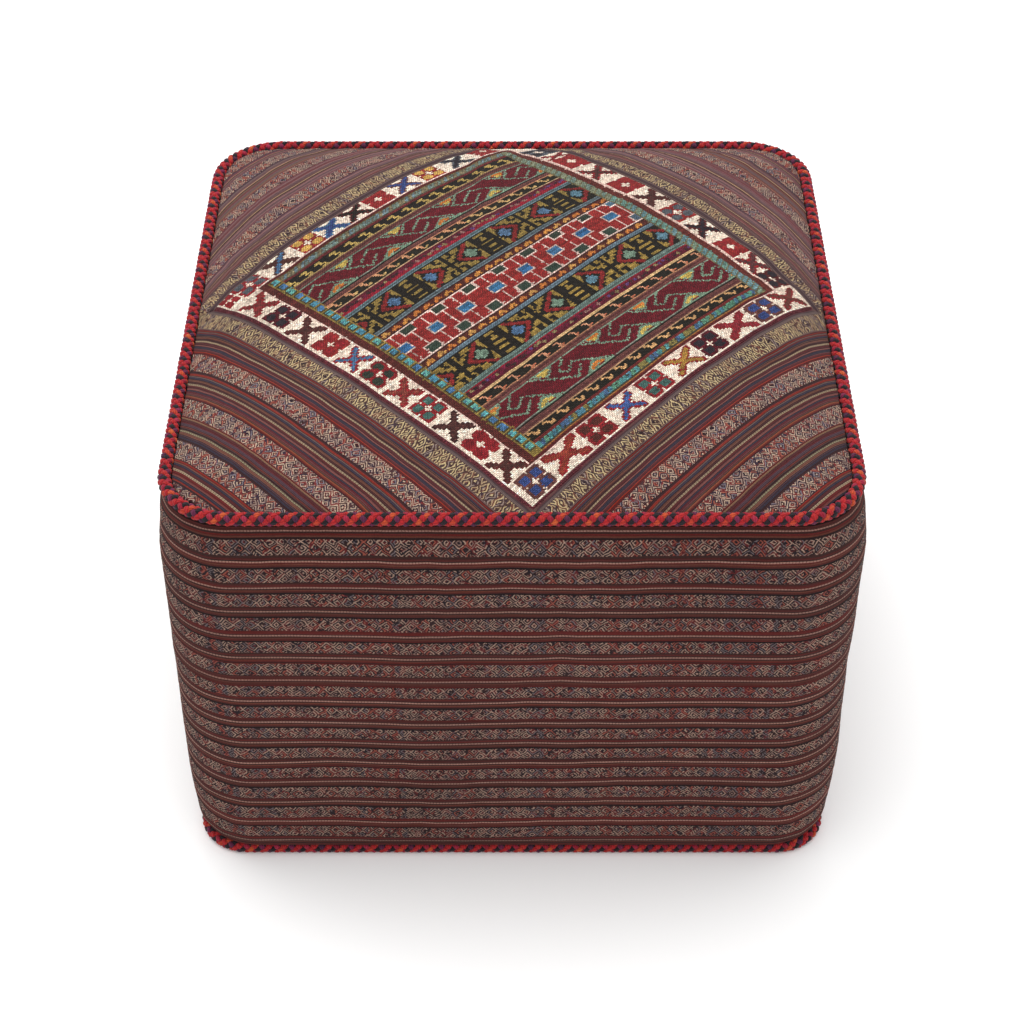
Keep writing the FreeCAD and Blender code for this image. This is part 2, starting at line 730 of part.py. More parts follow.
# crown: the arch the pull hangs from, on the outer plate
sk = new_sketch(slider, "slider_crown", "XZ_Plane")
cx = D.slider_rest
polygon(
    sk,
    [
        (cx - 3.5, outer_low + 0.2),
        (cx - 3.5, outer_low - 1.9),
        (cx - 2.9, outer_low - 2.5),
        (cx + 2.9, outer_low - 2.5),
        (cx + 3.5, outer_low - 1.9),
        (cx + 3.5, outer_low + 0.2),
        (cx + 2.5, outer_low + 0.2),
        (cx + 2.5, outer_low - 1.5),
        (cx - 2.5, outer_low - 1.5),
        (cx - 2.5, outer_low + 0.2),
    ],
)
doc.recompute()
pad(slider, sk, 1.6, "slider_crown_pad", both=True)
doc.recompute()
keep(slider, "zip_slider")

# pull tab: modelled flat about its own pivot, pointing towards -X, then hung at its angle
pull = doc.addObject("PartDesign::Body", "zip_pull")
sk = new_sketch(pull, "pull_outline", "XY_Plane", -0.5)
ph = D.pull_wide / 2
rounded_rectangle(sk, 0.5 - D.pull_long, -ph, 0.5, ph, 0.4)
doc.recompute()
pad(pull, sk, 1.0, "pull_pad")
doc.recompute()
whole = pull.Shape.Volume
sk = new_sketch(pull, "pull_window", "XY_Plane", -0.5)
polygon(sk, [(-5.2, -1.3), (-0.5, -1.3), (-0.5, 1.3), (-5.2, 1.3)])
doc.recompute()
pocket(pull, sk, "pull_window_pocket", through=False, length=1.0, reverse=True)
doc.recompute()
sk = new_sketch(pull, "pull_grip", "XY_Plane", -0.5)
rounded_rectangle(sk, 3.0 - D.pull_long, -1.4, -9.5, 1.4, 1.3)
doc.recompute()
pocket(pull, sk, "pull_grip_pocket", through=False, length=1.0, reverse=True)
doc.recompute()
if not pull.Shape.Volume < whole - 30:
    raise RuntimeError("the openings of the pull cut nothing")
pivot_z = (outer_low - 0.75).value
pull.Placement = FreeCAD.Placement(
    V(D.slider_rest.value, 0, pivot_z), FreeCAD.Rotation(V(0, 1, 0), -D.pull_droop.value)
)
pull.setExpression("Placement.Base.x", D.slider_rest.text)
pull.setExpression("Placement.Base.z", (outer_low - 0.75).text)
keep(pull, "zip_pull")

# -------------------------------------------------------------------- export
doc.recompute()
for obj in doc.Objects:
    if "Invalid" in obj.State or "Error" in obj.State:
        raise RuntimeError("%s did not compute: %s" % (obj.Name, obj.State))
for obj in pieces:
    shape = obj.Shape
    if shape.isNull() or not shape.isValid() or len(shape.Solids) != 1 or shape.Volume <= 0:
        raise RuntimeError("%s has no valid single solid (%d solids)" % (obj.Label, len(shape.Solids)))
for obj in pieces:
    box = obj.Shape.BoundBox
    print(
        "%-26s %12.1f mm3  x %.2f..%.2f  y %.2f..%.2f  z %.2f..%.2f"
        % (obj.Label, obj.Shape.Volume, box.XMin, box.XMax, box.YMin, box.YMax, box.ZMin, box.ZMax)
    )
    obj.Shape.exportStep("parts/%s.step" % obj.Label)
print(len(pieces), "pieces; pull pivot at z =", pivot_z)
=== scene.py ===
import bpy
import math
import numpy as np
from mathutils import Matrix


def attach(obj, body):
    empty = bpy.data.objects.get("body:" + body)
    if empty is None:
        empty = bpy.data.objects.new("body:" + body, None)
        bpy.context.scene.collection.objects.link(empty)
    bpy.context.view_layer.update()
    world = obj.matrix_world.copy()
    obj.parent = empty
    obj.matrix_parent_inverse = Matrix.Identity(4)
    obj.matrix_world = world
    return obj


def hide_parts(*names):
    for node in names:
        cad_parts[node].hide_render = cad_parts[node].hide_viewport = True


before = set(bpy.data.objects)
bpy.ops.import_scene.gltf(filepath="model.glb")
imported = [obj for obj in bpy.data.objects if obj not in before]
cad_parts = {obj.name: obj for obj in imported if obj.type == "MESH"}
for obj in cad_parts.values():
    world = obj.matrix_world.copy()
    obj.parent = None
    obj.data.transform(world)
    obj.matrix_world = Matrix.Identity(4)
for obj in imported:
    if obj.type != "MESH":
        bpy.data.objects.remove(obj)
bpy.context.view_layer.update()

# Square pouf, flat-woven wool cover. Lengths in the tables below are in millimetres.
TOP_HALF, TOP_LEVEL, TOP_CORNER = 247.0, 347.0, 52.0
BOTTOM_HALF, BOTTOM_LEVEL, BOTTOM_CORNER = 243.2, 4.7, 34.0
CORD_R = 5.0
TOP_INSIDE, INSIDE_CORNER = 241.8, 46.8
LEFT, RIGHT, FRONT, BACK = (-230.4, -8.7), (233.4, -6.1), (14.6, -240.0), (3.0, 262.0)

# ------------------------------------------------------------------ helpers


def lin(c):
    """sRGB 0-255 to linear."""
    out = []
    for v in c[:3]:
        v = v / 255.0
        out.append(v / 12.92 if v <= 0.04045 else ((v + 0.055) / 1.055) ** 2.4)
    return tuple(out)


def lin_array(a):
    a = np.clip(np.asarray(a, float) / 255.0, 0, 1)
    return np.where(a <= 0.04045, a / 12.92, ((a + 0.055) / 1.055) ** 2.4)


DYE = 0.61  # how much light the wool yarns return, against the tables of yarn colours


def wool(c):
    return tuple(DYE * v for v in lin(c))


def wool_array(a):
    return DYE * lin_array(a)


class Noise:
    """Smooth seeded value noise over a plane, about -1 to 1."""

    def __init__(self, seed, cell, size=64):
        self.g = np.random.default_rng(seed).uniform(-1, 1, (size, size))
        self.cell, self.size = cell, size

    def __call__(self, x, y):
        x, y = np.asarray(x, float) / self.cell, np.asarray(y, float) / self.cell
        i, j = np.floor(x).astype(int), np.floor(y).astype(int)
        a, b = x - i, y - j
        a, b = a * a * (3 - 2 * a), b * b * (3 - 2 * b)
        n = self.size
        g = self.g
        return (
            g[i % n, j % n] * (1 - a) * (1 - b)
            + g[(i + 1) % n, j % n] * a * (1 - b)
            + g[i % n, (j + 1) % n] * (1 - a) * b
            + g[(i + 1) % n, (j + 1) % n] * a * b
        )


def new_object(name, verts, faces, smooth=True):
    """verts in millimetres."""
    me = bpy.data.meshes.new(name)
    verts = np.asarray(verts, np.float64) / 1000.0
    faces = [tuple(int(i) for i in f) for f in faces]
    me.from_pydata(verts.tolist(), [], faces)
    me.update()
    if smooth:
        me.polygons.foreach_set("use_smooth", np.ones(len(me.polygons), bool))
    ob = bpy.data.objects.new(name, me)
    bpy.context.scene.collection.objects.link(ob)
    return ob


def face_colours(ob, name, colours):
    """colours: one linear rgb per face."""
    me = ob.data
    attr = me.color_attributes.new(name, "BYTE_COLOR" if name == "Col" else "FLOAT_COLOR", "CORNER")
    counts = np.zeros(len(me.polygons), int)
    me.polygons.foreach_get("loop_total", counts)
    rgba = np.ones((len(me.loops), 4), np.float32)
    rgba[:, :3] = np.repeat(np.asarray(colours, np.float32), counts, axis=0)
    attr.data.foreach_set("color", rgba.ravel())


def set_uv(ob, name, uv_of_vertex):
    me = ob.data
    layer = me.uv_layers.new(name=name)
    idx = np.zeros(len(me.loops), int)
    me.loops.foreach_get("vertex_index", idx)
    layer.data.foreach_set("uv", np.asarray(uv_of_vertex, np.float32)[idx].ravel())


def shade(ob, *mats):
    ob.data.materials.clear()
    for m in mats:
        ob.data.materials.append(m)


def smooth_step(x, a, b):
    t = np.clip((np.asarray(x, float) - a) / (b - a), 0, 1)
    return t * t * (3 - 2 * t)


# ------------------------------------------------------- node-tree shorthand


class Nodes:
    def __init__(self, name):
        self.mat = bpy.data.materials.new(name)
        self.mat.use_nodes = True
        self.t = self.mat.node_tree
        self.t.nodes.clear()
        self.out = self.t.nodes.new("ShaderNodeOutputMaterial")
        self.bsdf = self.t.nodes.new("ShaderNodeBsdfPrincipled")
        self.t.links.new(self.bsdf.outputs[0], self.out.inputs[0])

    def put(self, socket, value):
        if value is None:
            return
        if isinstance(value, bpy.types.NodeSocket):
            self.t.links.new(value, socket)
        elif isinstance(value, (tuple, list)) and len(value) == 3 and socket.type == "RGBA":
            socket.default_value = (*value, 1.0)
        else:
            socket.default_value = value

    def math(self, op, a, b=None, c=None, clamp=False):
        n = self.t.nodes.new("ShaderNodeMath")
        n.operation = op
        n.use_clamp = clamp
        self.put(n.inputs[0], a)
        self.put(n.inputs[1], b)
        self.put(n.inputs[2], c)
        return n.outputs[0]

    def mix(self, fac, a, b, blend="MIX"):
        n = self.t.nodes.new("ShaderNodeMix")
        n.data_type = "RGBA"
        n.blend_type = blend
        n.clamp_factor = True
        self.put(n.inputs[0], fac)
        self.put(n.inputs[6], a)
        self.put(n.inputs[7], b)
        return n.outputs[2]

    def fmix(self, fac, a, b):
        n = self.t.nodes.new("ShaderNodeMix")
        n.data_type = "FLOAT"
        self.put(n.inputs[0], fac)
        self.put(n.inputs[2], a)
        self.put(n.inputs[3], b)
        return n.outputs[0]

    def attribute(self, name):
        n = self.t.nodes.new("ShaderNodeAttribute")
        n.attribute_name = name
        return n

    def uv(self, name):
        n = self.t.nodes.new("ShaderNodeUVMap")
        n.uv_map = name
        s = self.t.nodes.new("ShaderNodeSeparateXYZ")
        self.t.links.new(n.outputs[0], s.inputs[0])
        return n.outputs[0], s.outputs[0], s.outputs[1]

    def object_coords(self):
        return self.t.nodes.new("ShaderNodeTexCoord").outputs["Object"]

    def noise(self, scale, detail=2.0, rough=0.5, vector=None, out=0, distortion=0.0):
        n = self.t.nodes.new("ShaderNodeTexNoise")
        self.put(n.inputs["Vector"], vector if vector is not None else self.object_coords())
        n.inputs["Scale"].default_value = scale
        n.inputs["Detail"].default_value = detail
        n.inputs["Roughness"].default_value = rough
        n.inputs["Distortion"].default_value = distortion
        return n.outputs[out]

    def white(self, vector=None, out=0):
        n = self.t.nodes.new("ShaderNodeTexWhiteNoise")
        n.noise_dimensions = "3D"
        self.put(n.inputs["Vector"], vector)
        return n.outputs[out]

    def combine(self, x=0.0, y=0.0, z=0.0):
        n = self.t.nodes.new("ShaderNodeCombineXYZ")
        self.put(n.inputs[0], x)
        self.put(n.inputs[1], y)
        self.put(n.inputs[2], z)
        return n.outputs[0]

    def ramp(self, fac, stops, mode="LINEAR"):
        n = self.t.nodes.new("ShaderNodeValToRGB")
        n.color_ramp.interpolation = mode
        e = n.color_ramp.elements
        while len(e) < len(stops):
            e.new(0.5)
        for el, (p, c) in zip(e, stops):
            el.position = p
            el.color = (*c, 1.0)
        self.put(n.inputs[0], fac)
        return n.outputs[0]

    def bump(self, height, distance, strength=1.0, normal=None):
        n = self.t.nodes.new("ShaderNodeBump")
        n.inputs["Strength"].default_value = strength
        n.inputs["Distance"].default_value = distance
        self.put(n.inputs["Height"], height)
        if normal is not None:
            self.put(n.inputs["Normal"], normal)
        return n.outputs[0]

    def hsv(self, colour, value=1.0, sat=1.0, hue=0.5):
        n = self.t.nodes.new("ShaderNodeHueSaturation")
        self.put(n.inputs["Hue"], hue)
        self.put(n.inputs["Saturation"], sat)
        self.put(n.inputs["Value"], value)
        self.put(n.inputs["Color"], colour)
        return n.outputs[0]

    def finish(self, colour, roughness=0.85, normal=None, sheen=0.25, sheen_tint=(1, 1, 1), metallic=0.0, specular=0.25):
        b = self.bsdf
        self.put(b.inputs["Base Color"], colour)
        self.put(b.inputs["Roughness"], roughness)
        self.put(b.inputs["Metallic"], metallic)
        self.put(b.inputs["Specular IOR Level"], specular)
        self.put(b.inputs["Sheen Weight"], sheen)
        self.put(b.inputs["Sheen Roughness"], 0.6)
        self.put(b.inputs["Sheen Tint"], sheen_tint)
        if normal is not None:
            self.put(b.inputs["Normal"], normal)
        return self.mat


# ------------------------------------------------------------ crowned surface
TERMS = [(0, 0, 33.7), (1, 0, 4.2), (2, 0, 27.5), (4, 0, 19.1), (6, 0, 11.2), (0, 1, 9.2), (0, 2, 4.6),
         (0, 3, 2.0), (0, 4, 33.5), (0, 6, -26.4), (2, 1, 14.2), (2, 2, 51.6)]


def crown(x, y):
    X, Y = np.asarray(x, float) / TOP_HALF, np.asarray(y, float) / TOP_HALF
    s = 0.0
    for i, j, c in TERMS:
        s = s + c * X**i * Y**j
    return TOP_LEVEL + (1 - X * X) * (1 - Y * Y) * s


def crown_normal(x, y):
    h = 0.5
    gx = (crown(x + h, y) - crown(x - h, y)) / (2 * h)
    gy = (crown(x, y + h) - crown(x, y - h)) / (2 * h)
    n = np.stack([-gx, -gy, np.ones_like(gx)], -1)
    return n / np.linalg.norm(n, axis=-1, keepdims=True)


def rounded_square(half, corner, s):
    """Point and outward normal at arc length s, counter-clockwise from the middle of the back side."""
    half, corner = float(half), float(corner)
    run = half - corner
    quarter = 2 * run + math.pi / 2 * corner
    s = np.mod(np.asarray(s, float), 4 * quarter)
    k = np.floor(s / quarter).astype(int)
    r = s - k * quarter
    # in the frame of one side: along the side t, outward n
    x = np.where(r < run, r, run)
    a = np.clip((r - run) / corner, 0, math.pi / 2)
    after = np.clip(r - run - math.pi / 2 * corner, 0, None)
    t = np.where(r < run, r, run + corner * np.sin(a))
    n = np.where(r < run, half, half - corner + corner * np.cos(a)) - after
    nt, nn = np.sin(a), np.cos(a)
    # side k: outward direction starts at +Y and turns counter-clockwise
    ang = math.pi / 2 + k * math.pi / 2
    ox, oy = np.cos(ang), np.sin(ang)
    tx, ty = -oy, ox
    p = np.stack([t * tx + n * ox, t * ty + n * oy], -1)
    nor = np.stack([nt * tx + nn * ox, nt * ty + nn * oy], -1)
    return p, nor


def perimeter(half, corner):
    return 8 * (half - corner) + 2 * math.pi * corner


def edge_distance(x, y, half=TOP_INSIDE, corner=INSIDE_CORNER):
    """Distance inwards from a rounded square's edge."""
    qx, qy = np.abs(x) - (half - corner), np.abs(y) - (half - corner)
    out = np.hypot(np.maximum(qx, 0), np.maximum(qy, 0)) + np.minimum(np.maximum(qx, qy), 0) - corner
    return -out


# Side wall: distance out from the middle plane against height.
WALL = [(341.8, 246.6), (338.4, 249.0), (333.0, 250.6), (325.8, 252.0), (311.8, 253.9), (289.8, 255.3), (179.8, 255.2),
        (80.1, 253.6), (20.1, 251.4), (10.1, 247.0)]
WALL_Z = np.array([p[0] for p in WALL][::-1])
WALL_X = np.array([p[1] for p in WALL][::-1])
BAND_HALF, BAND_CORNER = 250.0, 50.0
BAND_LENGTH = perimeter(BAND_HALF, BAND_CORNER)


def wall_out(z):
    # rounded off between the section's corners
    z = np.asarray(z, float)
    return (np.interp(z - 3, WALL_Z, WALL_X) + np.interp(z + 3, WALL_Z, WALL_X) + 2 * np.interp(z, WALL_Z, WALL_X)) / 4


# ------------------------------------------- how the stuffed cover swells
top_lump = Noise(11, 62)
top_lump2 = Noise(12, 27)
side_lump = Noise(13, 74)
side_lump2 = Noise(14, 31)


def simulate_cover():
    """Cloth with pressure inside, held at its two cords. Returns what is left of its
    movement once the even swelling is taken off, as scattered samples."""
    n_round, n_top, n_side = 160, 26, 22
    rings = []
    for k in range(n_top):
        f = 0.04 + 0.96 * k / (n_top - 1)
        rings.append(("top", f))
    for k in range(1, n_side + 1):
        rings.append(("side", TOP_LEVEL + (BOTTOM_LEVEL - TOP_LEVEL) * k / n_side))
    for k in range(1, 9):
        rings.append(("base", 1 - 0.95 * k / 8))
    verts, pin = [], []
    s = np.arange(n_round) / n_round
    for kind, v in rings:
        if kind == "top":
            half, corner, z = TOP_HALF * v, TOP_CORNER * v, None
        elif kind == "side":
            out = 250 + 5 * math.sin(math.pi * (v - BOTTOM_LEVEL) / (TOP_LEVEL - BOTTOM_LEVEL)) - 6 * (TOP_LEVEL - v) / 342
            half, corner, z = out, 44.0, v
        else:
            half, corner, z = 243 * v, 34.0 * v, 8.0
        p, _ = rounded_square(half, corner, s * perimeter(half, corner))
        zz = crown(p[:, 0], p[:, 1]) if z is None else np.full(n_round, z)
        verts.append(np.column_stack([p, zz]))
        pin.append(np.full(n_round, 1.0 if (kind == "base" or (kind == "top" and v > 0.999) or (kind == "side" and v < 5)) else 0.0))
    verts = np.concatenate(verts)
    pin = np.concatenate(pin)
    faces = []
    for r in range(len(rings) - 1):
        for c in range(n_round):
            d = (c + 1) % n_round
            faces.append((r * n_round + c, (r + 1) * n_round + c, (r + 1) * n_round + d, r * n_round + d))
    faces.append(tuple(range(n_round)))
    last = (len(rings) - 1) * n_round
    faces.append(tuple(last + c for c in reversed(range(n_round))))
    ob = new_object("cover_simulation", verts, faces)
    rng = np.random.default_rng(5)
    group = ob.vertex_groups.new(name="pin")
    for i in np.nonzero(pin > 0)[0]:
        group.add([int(i)], 1.0, "REPLACE")
    mod = ob.modifiers.new("Cloth", "CLOTH")
    cs = mod.settings
    cs.quality = 5
    cs.mass = 0.4
    cs.tension_stiffness = 25
    cs.compression_stiffness = 12
    cs.shear_stiffness = 8
    cs.bending_stiffness = 0.4
    cs.use_pressure = True
    cs.uniform_pressure_force = 4
    cs.vertex_group_mass = "pin"
    cs.shrink_min = -0.02
    cs.shrink_max = -0.02
    cs.effector_weights.gravity = 0.0
    scene = bpy.context.scene
    for f in range(1, 21):
        scene.frame_set(f)
    dep = bpy.context.evaluated_depsgraph_get()
    ev = ob.evaluated_get(dep)
    moved = np.zeros(len(ob.data.vertices) * 3)
    ev.data.vertices.foreach_get("co", moved)
    moved = moved.reshape(-1, 3) * 1000
    scene.frame_set(1)
    bpy.data.objects.remove(ob, do_unlink=True)
    d = moved - verts
    n_t = n_top * n_round
    n_s = (n_side) * n_round
    top, side = slice(0, n_t), slice(n_t, n_t + n_s)
    # top: along the crowned surface's normal
    nt = crown_normal(verts[top, 0], verts[top, 1])
    dt = (d[top] * nt).sum(1)
    X, Y = verts[top, 0] / TOP_HALF, verts[top, 1] / TOP_HALF
    A = np.stack([X**i * Y**j for i in range(0, 7) for j in range(0, 7) if i + j <= 8], 1)
    dt = dt - A @ np.linalg.lstsq(A, dt, rcond=None)[0]
    c = verts[side]
    s_side = np.tile(s * BAND_LENGTH, n_side)
    _, nor = rounded_square(BAND_HALF, BAND_CORNER, s_side)
    ds = (d[side][:, :2] * nor).sum(1)
    th = 2 * np.pi * s_side / BAND_LENGTH
    zz = c[:, 2] / 347.0
    B = np.stack([zz**i * g for i in range(0, 5) for g in (np.ones_like(th), np.cos(4 * th), np.cos(8 * th), np.cos(12 * th))], 1)
    ds = ds - B @ np.linalg.lstsq(B, ds, rcond=None)[0]
    return dt.reshape(n_top, n_round), ds.reshape(n_side, n_round)


sim_top, sim_side = simulate_cover()
print("cloth: top uneven swelling mm", float(np.abs(sim_top).max()), "side", float(np.abs(sim_side).max()))


def sample_grid(grid, row, col):
    rows, cols = grid.shape
    row = np.clip(row, 0, rows - 1.001)
    i = np.floor(row).astype(int)
    j = np.floor(col).astype(int)
    a, b = row - i, col - j
    j0, j1 = j % cols, (j + 1) % cols
    return (grid[i, j0] * (1 - a) * (1 - b) + grid[i + 1, j0] * a * (1 - b)
            + grid[i, j1] * (1 - a) * b + grid[i + 1, j1] * a * b)


def top_swell(x, y):
    d = edge_distance(x, y)
    fade = smooth_step(d, 0, 26)
    out = fade * (0.9 * top_lump(x + 900, y + 900) + 0.35 * top_lump2(x + 900, y + 900))
    if sim_top is not None:
        # ring fraction and place round the ring
        half = np.maximum(np.hypot(x, y), 1e-6)
        ang = np.arctan2(y, x)
        f = np.clip(1 - d / TOP_HALF, 0.04, 1)
        rows, cols = sim_top.shape
        # the rings start at the middle of the back side and run counter-clockwise
        r = (f - 0.04) / 0.96 * (rows - 1)
        c = np.mod((ang - math.pi / 2) / (2 * math.pi), 1.0) * cols
        extra = 0.5 * sample_grid(sim_top, r, c) * smooth_step(f, 0.10, 0.35)
        out = out + fade * np.where(extra > 0, 1.6 * np.tanh(extra / 1.6), 0.5 * np.tanh(extra / 0.5))
    # the padding keeps the cloth from sinking far
    out = np.where(out < 0, 1.0 * np.tanh(out / 1.0), out)
    # the cloth is drawn in along the cord, with small gathers
    s = np.arctan2(y, x) * 247
    pull = np.exp(-np.clip(d, 0, 60) / 9.0)
    out = out - 0.9 * pull + 0.25 * pull * np.sin(s / 2.9 + 2 * top_lump(s + 3000, d * 0 + 40))
    return out


def side_swell(s, z):
    t = np.clip((TOP_LEVEL - z) / (TOP_LEVEL - BOTTOM_LEVEL), 0, 1)
    fade = smooth_step(t, 0.0, 0.09) * smooth_step(1 - t, 0.0, 0.08)
    out = fade * (1.1 * side_lump(s + 50, z + 500) + 0.45 * side_lump2(s + 50, z + 500))
    if sim_side is not None:
        rows, cols = sim_side.shape
        r = t * rows - 1
        c = np.mod(s / BAND_LENGTH, 1.0) * cols
        out = out + fade * 0.7 * np.tanh(0.3 * sample_grid(sim_side, r, c) / 0.7)
    pull = np.exp(-np.clip(TOP_LEVEL - 6 - z, 0, 60) / 6.0)
    low = np.exp(-np.clip(z - BOTTOM_LEVEL - 6, 0, 60) / 6.0)
    out = out + 0.2 * pull * np.sin(s / 2.6 + 2 * side_lump(s, s * 0)) + 0.2 * low * np.sin(s / 2.8)
    return out


def on_top(x, y, lift):
    """Place plan points on the swollen crown, lifted along its normal."""
    n = crown_normal(x, y)
    base = np.stack([x, y, crown(x, y)], -1)
    return base + n * (top_swell(x, y) + lift)[..., None]


# ---------------------------------------------------------- the kilim panel
NU, NV = 256, 260
UK, VK = np.array([0.0, 24.0, 235.0, 256.0]), np.array([0.0, 18.0, 240.0, 260.0])
CP = np.array([
    [(-230.4, -8.7), (-209.0, 16.1), (-20.3, 235.0), (3.0, 262.0)],
    [(-215.2, -23.0), (-192.0, 1.5), (-3.0, 220.0), (21.2, 240.8)],
    [(-4.5, -222.1), (15.9, -200.6), (201.0, -4.3), (218.7, 10.9)],
    [(14.6, -240.0), (34.9, -218.3), (219.2, -21.3), (233.4, -6.1)],
])


def kilim_plan(u, v):
    """Plan position of the point u stitches along the bands, v across them. The bands
    sag a little towards the front on the right."""
    k = np.clip((u - 24) / 200.0, 0, 1.06) ** 1.25
    v = v + 4.3 * k * np.clip(np.sin(np.pi * np.clip((v - 16) / 224.0, 0, 1)), 0, 1) ** 0.8
    iu = np.clip(np.searchsorted(UK, u, side="right") - 1, 0, 2)
    iv = np.clip(np.searchsorted(VK, v, side="right") - 1, 0, 2)
    a = ((u - UK[iu]) / (UK[iu + 1] - UK[iu]))[..., None]
    b = ((v - VK[iv]) / (VK[iv + 1] - VK[iv]))[..., None]
    p = (CP[iv, iu] * (1 - a) * (1 - b) + CP[iv, iu + 1] * a * (1 - b)
         + CP[iv + 1, iu] * (1 - a) * b + CP[iv + 1, iu + 1] * a * b)
    return p[..., 0], p[..., 1]


# yarn colours
WHITE, CREAM, PEACH = (242, 220, 202), (216, 186, 138), (214, 158, 120)
RED, BRICK, MAROON = (150, 38, 44), (152, 46, 44), (94, 36, 36)
DARKRED, WINE, CRIMSON = (100, 34, 40), (92, 24, 36), (142, 30, 48)
BROWN, MAUVE, BLACK = (86, 50, 46), (110, 66, 62), (38, 32, 28)
OLIVE, MINT, GOLD, ORANGE = (148, 124, 66), (126, 156, 130), (218, 172, 92), (204, 122, 56)
BLUE, SKY, ROYAL, SLATE = (76, 112, 150), (118, 136, 146), (58, 76, 134), (92, 96, 104)
TEAL, DARKGREEN, TURQ, INK = (72, 106, 100), (56, 64, 54), (98, 172, 176), (48, 40, 48)
YELLOW, RUST = (206, 178, 92), (120, 64, 36)


class Canvas:
    """Colour and height of every stitch."""

    def __init__(self):
        self.c = np.zeros((NV, NU, 3))
        self.h = np.zeros((NV, NU))
        self.u, self.v = np.meshgrid(np.arange(NU) + 0.5, np.arange(NV) + 0.5)
        self.clip = None

    def put(self, mask, colour, lift=0.0):
        if self.clip is not None:
            a, b, c, d = self.clip
            mask = mask & (self.u > a) & (self.u < b) & (self.v > c) & (self.v < d)
        self.c[mask] = colour
        self.h[mask] = lift

    def rect(self, u0, u1, v0, v1, colour, lift=0.0):
        self.put((self.u > u0) & (self.u < u1) & (self.v > v0) & (self.v < v1), colour, lift)

    def stroke(self, points, width, colour, lift=0.2, limit=None):
        mask = np.zeros(self.u.shape, bool)
        for (a, b), (c, d) in zip(points[:-1], points[1:]):
            du, dv = c - a, d - b
            L = du * du + dv * dv
            t = np.clip(((self.u - a) * du + (self.v - b) * dv) / max(L, 1e-9), 0, 1)
            mask |= np.hypot(self.u - a - t * du, self.v - b - t * dv) < width / 2
        if limit is not None:
            mask &= (self.u > limit[0]) & (self.u < limit[1]) & (self.v > limit[2]) & (self.v < limit[3])
        self.put(mask, colour, lift)
        return mask

    def blob(self, cu, cv, ru, rv, colour, power=3.0, lift=0.3):
        self.put((np.abs(self.u - cu) / ru) ** power + (np.abs(self.v - cv) / rv) ** power < 1, colour, lift)

    def triangle(self, a, b, c, colour, lift=0.2, limit=None):
        def side(p, q):
            return (self.u - p[0]) * (q[1] - p[1]) - (self.v - p[1]) * (q[0] - p[0])
        s1, s2, s3 = side(a, b), side(b, c), side(c, a)
        mask = ((s1 >= 0) & (s2 >= 0) & (s3 >= 0)) | ((s1 <= 0) & (s2 <= 0) & (s3 <= 0))
        if limit is not None:
            mask &= (self.u > limit[0]) & (self.u < limit[1]) & (self.v > limit[2]) & (self.v < limit[3])
        self.put(mask, colour, lift)


K = Canvas()


def flower(cu, cv, petal, edge, ru=8.2, rv=8.2, heart=WHITE):
    """Four square petals with small notches between them."""
    for a in (-1, 1):
        for b in (-1, 1):
            K.blob(cu + a * ru * 0.51, cv + b * rv * 0.51, ru * 0.53, rv * 0.53, edge, 5.0, 0.35)
            if petal != edge:
                K.blob(cu + a * ru * 0.50, cv + b * rv * 0.50, ru * 0.34, rv * 0.34, petal, 3.2, 0.45)
    for b in (-1, 1):
        for w, far in ((0.9, 0.74), (1.6, 0.90)):
            K.rect(cu - w * 0.5, cu + w * 0.5, *sorted((cv + b * rv * far, cv + b * rv * 1.1)), WHITE, 0.1)
            K.rect(*sorted((cu + b * ru * far, cu + b * ru * 1.1)), cv - w * 0.5, cv + w * 0.5, WHITE, 0.1)
    K.rect(cu - 0.55, cu + 0.55, cv - 2.7, cv + 2.7, heart, 0.1)
    K.rect(cu - 2.7, cu + 2.7, cv - 0.55, cv + 0.55, heart, 0.1)
    K.blob(cu, cv, 1.6, 1.6, heart, 1.3, 0.1)


def cross(cu, cv, inner, edge, ru=8.6, rv=8.6, second=None):
    """X motif: two crossed arms with stepped edges, in an outline."""
    rv = rv * 1.02
    step = 1.9
    du, dv = np.abs(K.u - cu) / ru, np.abs(K.v - cv) / rv
    uq = (np.floor(np.abs(K.u - cu) / step) + 0.5) * step / ru
    arm = np.abs(dv - uq)
    K.put((du < 1) & (dv < 1) & (arm < 0.37), edge, 0.35)
    m = (du < 0.88) & (dv < 0.88) & (arm < 0.20)
    K.put(m, inner, 0.45)
    if second is not None:
        K.put(m & ((K.u - cu) * (K.v - cv) > 0), second, 0.45)


